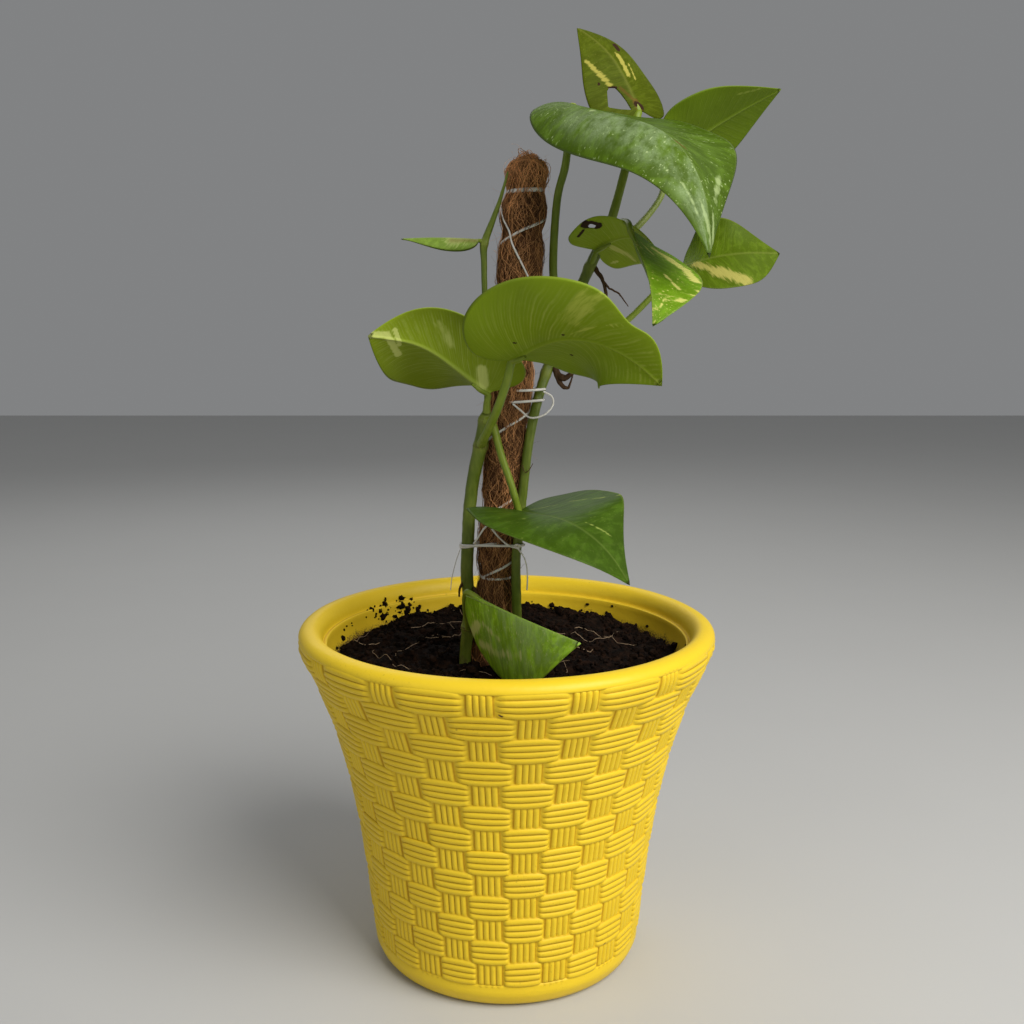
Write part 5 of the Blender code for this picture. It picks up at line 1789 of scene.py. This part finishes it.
LEAVES = (
    Leaf("leaf_1", (-18, -30, 187), -35, -14, 44, 68, 64, (0.08, 0.08), -10, 0.53, 0.45, -15, -24,
         (-72, -64), (-2, -17), (-1, 24), -0.20,
         ((-18, -6, 163), (-19, -14, 174), (-19, -24, 183)), 1.6,
         # Painted light: the upper colour is made paler to make up for the shade the other leaves cast
         # on this blade.
         LeafSkin((0.185, 0.330, 0.012), cream=(0.62, 0.66, 0.22),
                  variegation=0.60, seed=1.3, gloss=0.30, speckle=1.0, sheen=0.40, mottling=0.9),
         (Mark((1, -20), (7, -12), 2.6, 1.0), Mark((8, -22), (14, -20), 2.6, 0.8),
          Mark((14, -22), (34, -14), 2.4, 0.5), Mark((4, -9), (20, -13), 1.6, 0.5)), wave=0.35, seed=1),
    Leaf("leaf_2", (6.4, -19.3, 223), -60, 3, 0, 79.5, 69.5, (0.23, 0.23), 62, 0.64, 0.35, 49, 7,
         (9, 11), (4, -10), (-6, -27), 0.10,
         ((-9.6, -11.5, 264), (-6.4, -13.5, 262.5), (-2.4, -16.5, 248.5), (1.6, -18.5, 237),
          (4, -19.2, 229)), 1.7,
         LeafSkin((0.034, 0.070, 0.002), cream=(0.30, 0.36, 0.08),
                  variegation=0.12, seed=2.1, speckle=0.25, mottling=0.6, shine=0.10),
         (Mark((3.7, 1.1), (13.5, 19.4), 0.9, 0.45), Mark((13.5, 19.4), (32.7, 32.6), 1.2, 0.45),
          Mark((24.6, -14), (24.6, -14), 1.2, 0.7), Mark((31, 33.4), (31, 33.4), 1.8, 0.9),
          Mark((45, 5), (60, 10), 0.7, 0.5), Mark((78.6, 0), (80, 0), 0.9, 0.9, BROWN)),
         wave=0.35, seed=2),
    Leaf("leaf_3", (2.2, -36, 293.2), -49, 22, 2, 80.6, 73.8, (0.07, 0.07), 69, 0.57, 0.49, 51, -37,
         (2, -5), (-45, 57), (-20, 18), -0.03,
         ((-12, -10, 252), (-10.5, -17, 256), (-7.5, -24, 262.5), (-4, -30.5, 271), (0, -35, 283)),
         1.8,
         LeafSkin((0.075, 0.125, 0.006), (0.178, 0.262, 0.004), cream=(0.42, 0.46, 0.07),
                  variegation=0.05, seed=3.7, gloss=0.36, speckle=0.15, veins=0.75),
         (Mark((41, -14), (46, -25), 4.2, 0.66), Mark((37.6, -4.7), (56, -16), 0.6, 0.6),
          Mark((34.9, -4.5), (34.9, -4.5), 0.8, 1.0, BROWN),
          Mark((23, 16.1), (24, 16.8), 0.9, 1.0, BROWN),
          Mark((15.2, -10.9), (15.8, -10), 0.7, 0.8, BROWN)), wave=0.6,
         lean=0.85, dents=((1, 0.85, 0.045, 0.24),), seed=3),
    Leaf("leaf_4", (-8.4, -13.3, 277.2), 200, 36, 23, 67, 60, (0.20, 0.03), 29, 0.57, 0.24, 22, 28,
         (36, 42), (-41, -46), (-13, -41), -0.05,
         ((-9.2, -11.5, 268), (-9, -13, 272.5)), 1.5,
         LeafSkin((0.08, 0.13, 0.008), (0.185, 0.255, 0.006), cream=(0.50, 0.55, 0.16),
                  variegation=0.05, seed=4.4, gloss=0.38, speckle=0.15, opacity=1.05, veins=0.50,
                  ragged=0.45),
         (Mark((66, 0.6), (57.9, 2.1), 1.5, 1.2), Mark((57.9, 2.1), (44.4, -9.3), 1.6, 1.2),
          Mark((54.5, 4.9), (48, -3), 1.0, 1.2), Mark((36.8, 13.9), (28.4, 8.5), 3.8, 0.52),
          Mark((9.8, 7.8), (4.6, 2.4), 2.9, 1.1)), wave=0.5, lean=1.25, seed=4),
    Leaf("leaf_5", (-13, -7.5, 346), 180, 3, 0, 35, 15, (0.05, 0.05), 6, 0.5, 0.5, 0, 0,
         (-20, -20), (-75, -75), (0, 0), 0.0,
         ((-10.3, -7.5, 343), (-11.5, -7.5, 345)), 1.0,
         LeafSkin((0.12, 0.19, 0.02), (0.15, 0.21, 0.03), variegation=0.35, seed=5.0, gloss=0.42),
         (Mark((1, 0), (12, 2), 4.2, 0.75), Mark((4, -2), (17, -3), 1.8, 0.36, BROWN),
          Mark((2, -3), (16, -4), 3.0, 0.8, RUST), Mark((1, 2.0), (12, 2.6), 2.2, 0.55, RUST)),
         wave=0.2, seed=5, stations=60, strips=22),
    Leaf("leaf_6", (29.5, -6.2, 404.6), -55, -16, -10, 122.5, 89.4, (0.08, 0.08), 76, 0.68, 0.37, 17, 1,
         (3, -5), (14, -69), (-14, -19), 0.21,
         ((27, 8, 308), (23, 4, 322), (21.5, 1, 336), (23, -2, 363.5), (26.6, -3.5, 379),
          (28.4, -4.6, 397)), 1.7,
         LeafSkin((0.046, 0.084, 0.003), cream=(0.36, 0.45, 0.19), variegation=0.42,
                  seed=6.2, gloss=0.38, speckle=1.2, sheen=0.46, opacity=0.70, shine=0.08,
                  mottling=0.75),
         (Mark((70, 0.9), (72.4, 3.9), 1.4, 0.9, RUST), Mark((92, -12), (106, -7), 1.0, 0.7),
          Mark((100, -4), (118, 1), 1.3, 0.8), Mark((84, 20), (97, 11), 2.4, 0.55),
          Mark((104, 6), (116, 4), 1.4, 0.8)), wave=0.6, seed=6, stations=120, strips=44),
    Leaf("leaf_7", (61.7, 18.1, 406.7), 166, 64, -52, 49.2, 43.8, (0.24, 0.24), 31, 0.59, 0.41, -6, 4,
         (-11, -15), (-3, -18), (3, -10), -0.01,
         ((45.8, 6.3, 349), (49.4, 8, 358), (55.1, 12, 378.5), (58.4, 15, 392.3), (60.8, 17.5, 403)),
         1.8,
         LeafSkin((0.054, 0.073, 0.001), (0.13, 0.17, 0.01), cream=(0.40, 0.36, 0.07), variegation=0.28,
                  seed=7.5, gloss=0.42, speckle=0.2, shine=0.05, ragged=0.8),
         (Mark((33.3, 11.3), (24.4, 10.7), 1.2, 0.8), Mark((24.4, 10.7), (15.5, 8.5), 1.7, 0.8),
          Mark((26.8, -5.1), (17, -3.6), 1.7, 0.95), Mark((22, -9), (14, -7), 0.8, 0.7),
          Mark((31.9, -10.2), (30.6, -9.4), 2.1, 1.0, BROWN),
          Mark((18.2, 13), (18.2, 13), 1.0, 1.0, BROWN),
          Mark((14.6, 9.4), (13, 6), 0.7, 0.8, BROWN), Mark((0.4, -2), (2.5, 0.0), 2.2, 0.75, BROWN),
          Mark((12.2, 4.3), (3.5, -0.1), 1.1, 0.65, RUST),
          Mark((3.5, -0.1), (-0.6, -0.4), 1.8, 1.0, RUST)),
         (((13.2, 10.9), (14.4, 9.2), (13.2, 6.5), (10.1, 5.3), (5.7, 4.2), (0.8, 3.6), (3.0, 8.5),
           (6.0, 13.6)),), wave=0.4, seed=7),
    Leaf("leaf_8", (79.4, 30, 387.5), 1, 35, -42, 59.2, 52.6, (0.13, 0.13), 9, 0.51, 0.50, -4, 7,
         (-2, -2), (-7, 11), (10, -13), 0.0,
         ((44, 5, 345), (55, 8, 348), (64, 12, 355.5), (72, 18, 365.5), (75, 23, 373),
          (78, 27.5, 382)), 1.5,
         LeafSkin((0.08, 0.13, 0.008), (0.108, 0.172, 0.003), cream=(0.26, 0.32, 0.05), variegation=0.03,
                  seed=8.1, gloss=0.42, speckle=0.1, shine=0.12, veins=0.22),
         (Mark((37.5, -13.4), (48.2, -9.7), 0.9, 0.7),), wave=0.45, lean=0.8, seed=8,
         petiole_skin=StemSkin(green=(0.17, 0.23, 0.04), pale=(0.36, 0.40, 0.12),
                               name="pale_stem_skin")),
    Leaf("leaf_9", (82.2, 5.9, 334.7), -26, 16, 30, 49.1, 45.5, (0.05, 0.05), 16, 0.42, 0.46, 52, 11,
         (-9, -2), (49, 3), (13, -23), 0.03,
         ((26, 6.5, 304), (36, 4, 302.5), (48, 2, 303.5), (57.7, 3, 310.7), (68.4, 4, 321.3),
          (77, 5, 330)), 1.5,
         LeafSkin((0.064, 0.105, 0.002), cream=(0.40, 0.36, 0.09), variegation=0.10,
                  seed=9.3, gloss=0.40, speckle=0.2, shine=0.08, ragged=0.8),
         (Mark((6.3, -2.3), (15.4, -10.5), 2.7, 0.85), Mark((15.4, -10.5), (24.8, -18.3), 3.8, 0.95)),
         wave=0.4, seed=9),
    Leaf("leaf_10", (41.6, 0.5, 341.8), -46, 24, -26, 40, 38, (0.22, 0.22), 68, 0.55, 0.50, 5, -11,
         (2, -2), (-12, -4), (-12, 0), 0.0,
         ((39, 6, 334), (40, 3.4, 337), (41, 1.6, 340)), 1.2,
         LeafSkin((0.10, 0.17, 0.010), (0.275, 0.385, 0.014), cream=(0.60, 0.60, 0.17), variegation=0.30,
                  seed=10.2, gloss=0.36, opacity=1.0),
         (Mark((6.5, 3.7), (9.2, 10.4), 1.8, 1.0), Mark((9.2, 10.4), (10, 16), 1.4, 1.0),
          Mark((0.7, 1.3), (3.5, 1.6), 0.7, 1.0), Mark((-1.5, 11.2), (1.5, 12.0), 0.8, 1.0),
          Mark((9.6, -17.0), (12.2, -12.9), 2.2, 1.2, BROWN),
          Mark((6.6, -15.0), (1.8, -13.4), 0.7, 1.0, BROWN)),
         (((9.2, -15.2), (11.0, -15.9), (12.0, -13.0), (10.2, -11.9), (8.8, -13.6)),),
         wave=0.5, seed=10),
    Leaf("leaf_11", (52.8, -37, 348.2), -75, -41, -1, 56.3, 55.2, (0.07, 0.07), 15, 0.65, 0.40, -20, 8,
         (-33, -118), (11, -5), (26, 1), 0.06,
         ((45.5, 6, 347.5), (48.3, 0, 349.5), (50.4, -9, 352.8), (52, -22, 352.8), (52.8, -32, 350.8)),
         1.3,
         LeafSkin((0.105, 0.205, 0.004), cream=(0.60, 0.58, 0.16), variegation=0.60,
                  seed=11.4, gloss=0.30, speckle=1.0),
         (Mark((6.4, 10.6), (10, 17.1), 1.5, 1.1), Mark((10, 17.1), (17.4, 21.9), 2.6, 1.2),
          Mark((17.4, 21.9), (27, 22), 2.4, 1.0), Mark((27.3, 8.4), (35.7, 12), 0.9, 0.9),
          Mark((6.2, 3.6), (13.1, 8.4), 0.7, 0.7), Mark((43.1, 4.7), (47, 3), 0.6, 0.7)),
         wave=0.35, seed=11),
)


# The scene


@dataclass
class Studio:
    """Plain pale floor, soft lights and the camera at the photograph's angle."""

    camera_place: tuple[float, float, float] = (0.0, -0.542, 0.3133)
    camera_dip: float = 9.85
    lens: float = 40.43
    shift: float = 0.0054
    floor_size: float = 6.0
    floor_colour: Colour = (0.52, 0.52, 0.51)
    sensor: float = 36.0
    aim: tuple[float, float, float] = (0.02, 0.0, 0.22)
    air: Colour = (0.58, 0.59, 0.60)
    air_strength: float = 0.38
    lamps: tuple[tuple[str, tuple[float, float, float], float, float, Colour], ...] = (
        ("key_light", (0.72, -0.75, 1.05), 1.00, 24.0, (1.0, 0.98, 0.94)),
        ("fill_light", (-1.1, -0.9, 0.75), 1.2, 2.2, (0.95, 0.98, 1.0)),
        ("back_light", (-0.3, 1.1, 1.1), 1.0, 3.0, (1.0, 1.0, 1.0)))

    def floor(self) -> None:
        """A wide level floor under the pot."""
        half = self.floor_size / 2
        corners = [(-half, -half, 0.0), (half, -half, 0.0), (half, half, 0.0), (-half, half, 0.0)]
        mesh = bpy.data.meshes.new("studio_floor")
        mesh.from_pydata(corners, [], [(0, 1, 2, 3)])
        paint = Paint("studio_floor_paint")
        mottle = paint.noise(paint.place(), 9.0, 3.0)
        colour = paint.mix(self.floor_colour, tuple(c * 0.97 for c in self.floor_colour), mottle)
        mesh.materials.append(paint.surface(colour, 0.75))
        plane = bpy.data.objects.new("studio_floor", mesh)
        bpy.context.scene.collection.objects.link(plane)

    def light(self, name: str, place: tuple[float, float, float], size: float, power: float,
              colour: Colour) -> None:
        """A square soft light aimed at the middle of the plant.

        Args:
            name: object name.
            place: where it hangs.
            size: length of its side.
            power: watts.
            colour: tint.
        """
        data = bpy.data.lights.new(name, "AREA")
        data.size = size
        data.energy = power
        data.color = colour
        lamp = bpy.data.objects.new(name, data)
        lamp.location = place
        aim = Vector(self.aim) - lamp.location
        lamp.rotation_euler = aim.to_track_quat("-Z", "Y").to_euler()
        bpy.context.scene.collection.objects.link(lamp)

    def build(self) -> None:
        """Set floor, lights, background and camera."""
        self.floor()
        for lamp in self.lamps:
            self.light(*lamp)
        world = bpy.data.worlds.new("studio_air")
        world.use_nodes = True
        background = world.node_tree.nodes["Background"]
        background.inputs["Color"].default_value = (*self.air, 1.0)
        background.inputs["Strength"].default_value = self.air_strength
        bpy.context.scene.world = world
        bpy.context.scene.view_settings.view_transform = "Standard"
        data = bpy.data.cameras.new("studio_camera")
        data.lens = self.lens
        data.sensor_width = self.sensor
        data.shift_x = self.shift
        camera = bpy.data.objects.new("studio_camera", data)
        camera.location = self.camera_place
        camera.rotation_euler = (math.radians(90.0 - self.camera_dip), 0.0, 0.0)
        bpy.context.scene.collection.objects.link(camera)
        bpy.context.scene.camera = camera


def dress_stick(frame: dict) -> None:
    """Give the CAD stick inside the sleeve its wood finish."""
    wood = StickWood()
    stick = frame["nodes"]["pole_stick"]
    stick.data.materials.clear()
    stick.data.materials.append(wood.material())


def corners(box: tuple) -> list[list[float]]:
    """A box's two corners as plain lists of numbers."""
    return [[float(x) for x in corner] for corner in box]


def main() -> None:
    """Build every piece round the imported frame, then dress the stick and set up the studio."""
    logging.basicConfig(level=logging.INFO, format="%(name)s %(message)s")
    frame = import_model()
    pot = BasketPot()
    pole = CoirPole()
    for part in (pot, SoilBed(pot), pole, Strings(pole), Stems(), *LEAVES):
        part.build()
        LOG.info("built %s", getattr(part, "name", type(part).__name__))
    dress_stick(frame)
    Studio().build()


if __name__ == "__main__":
    main()
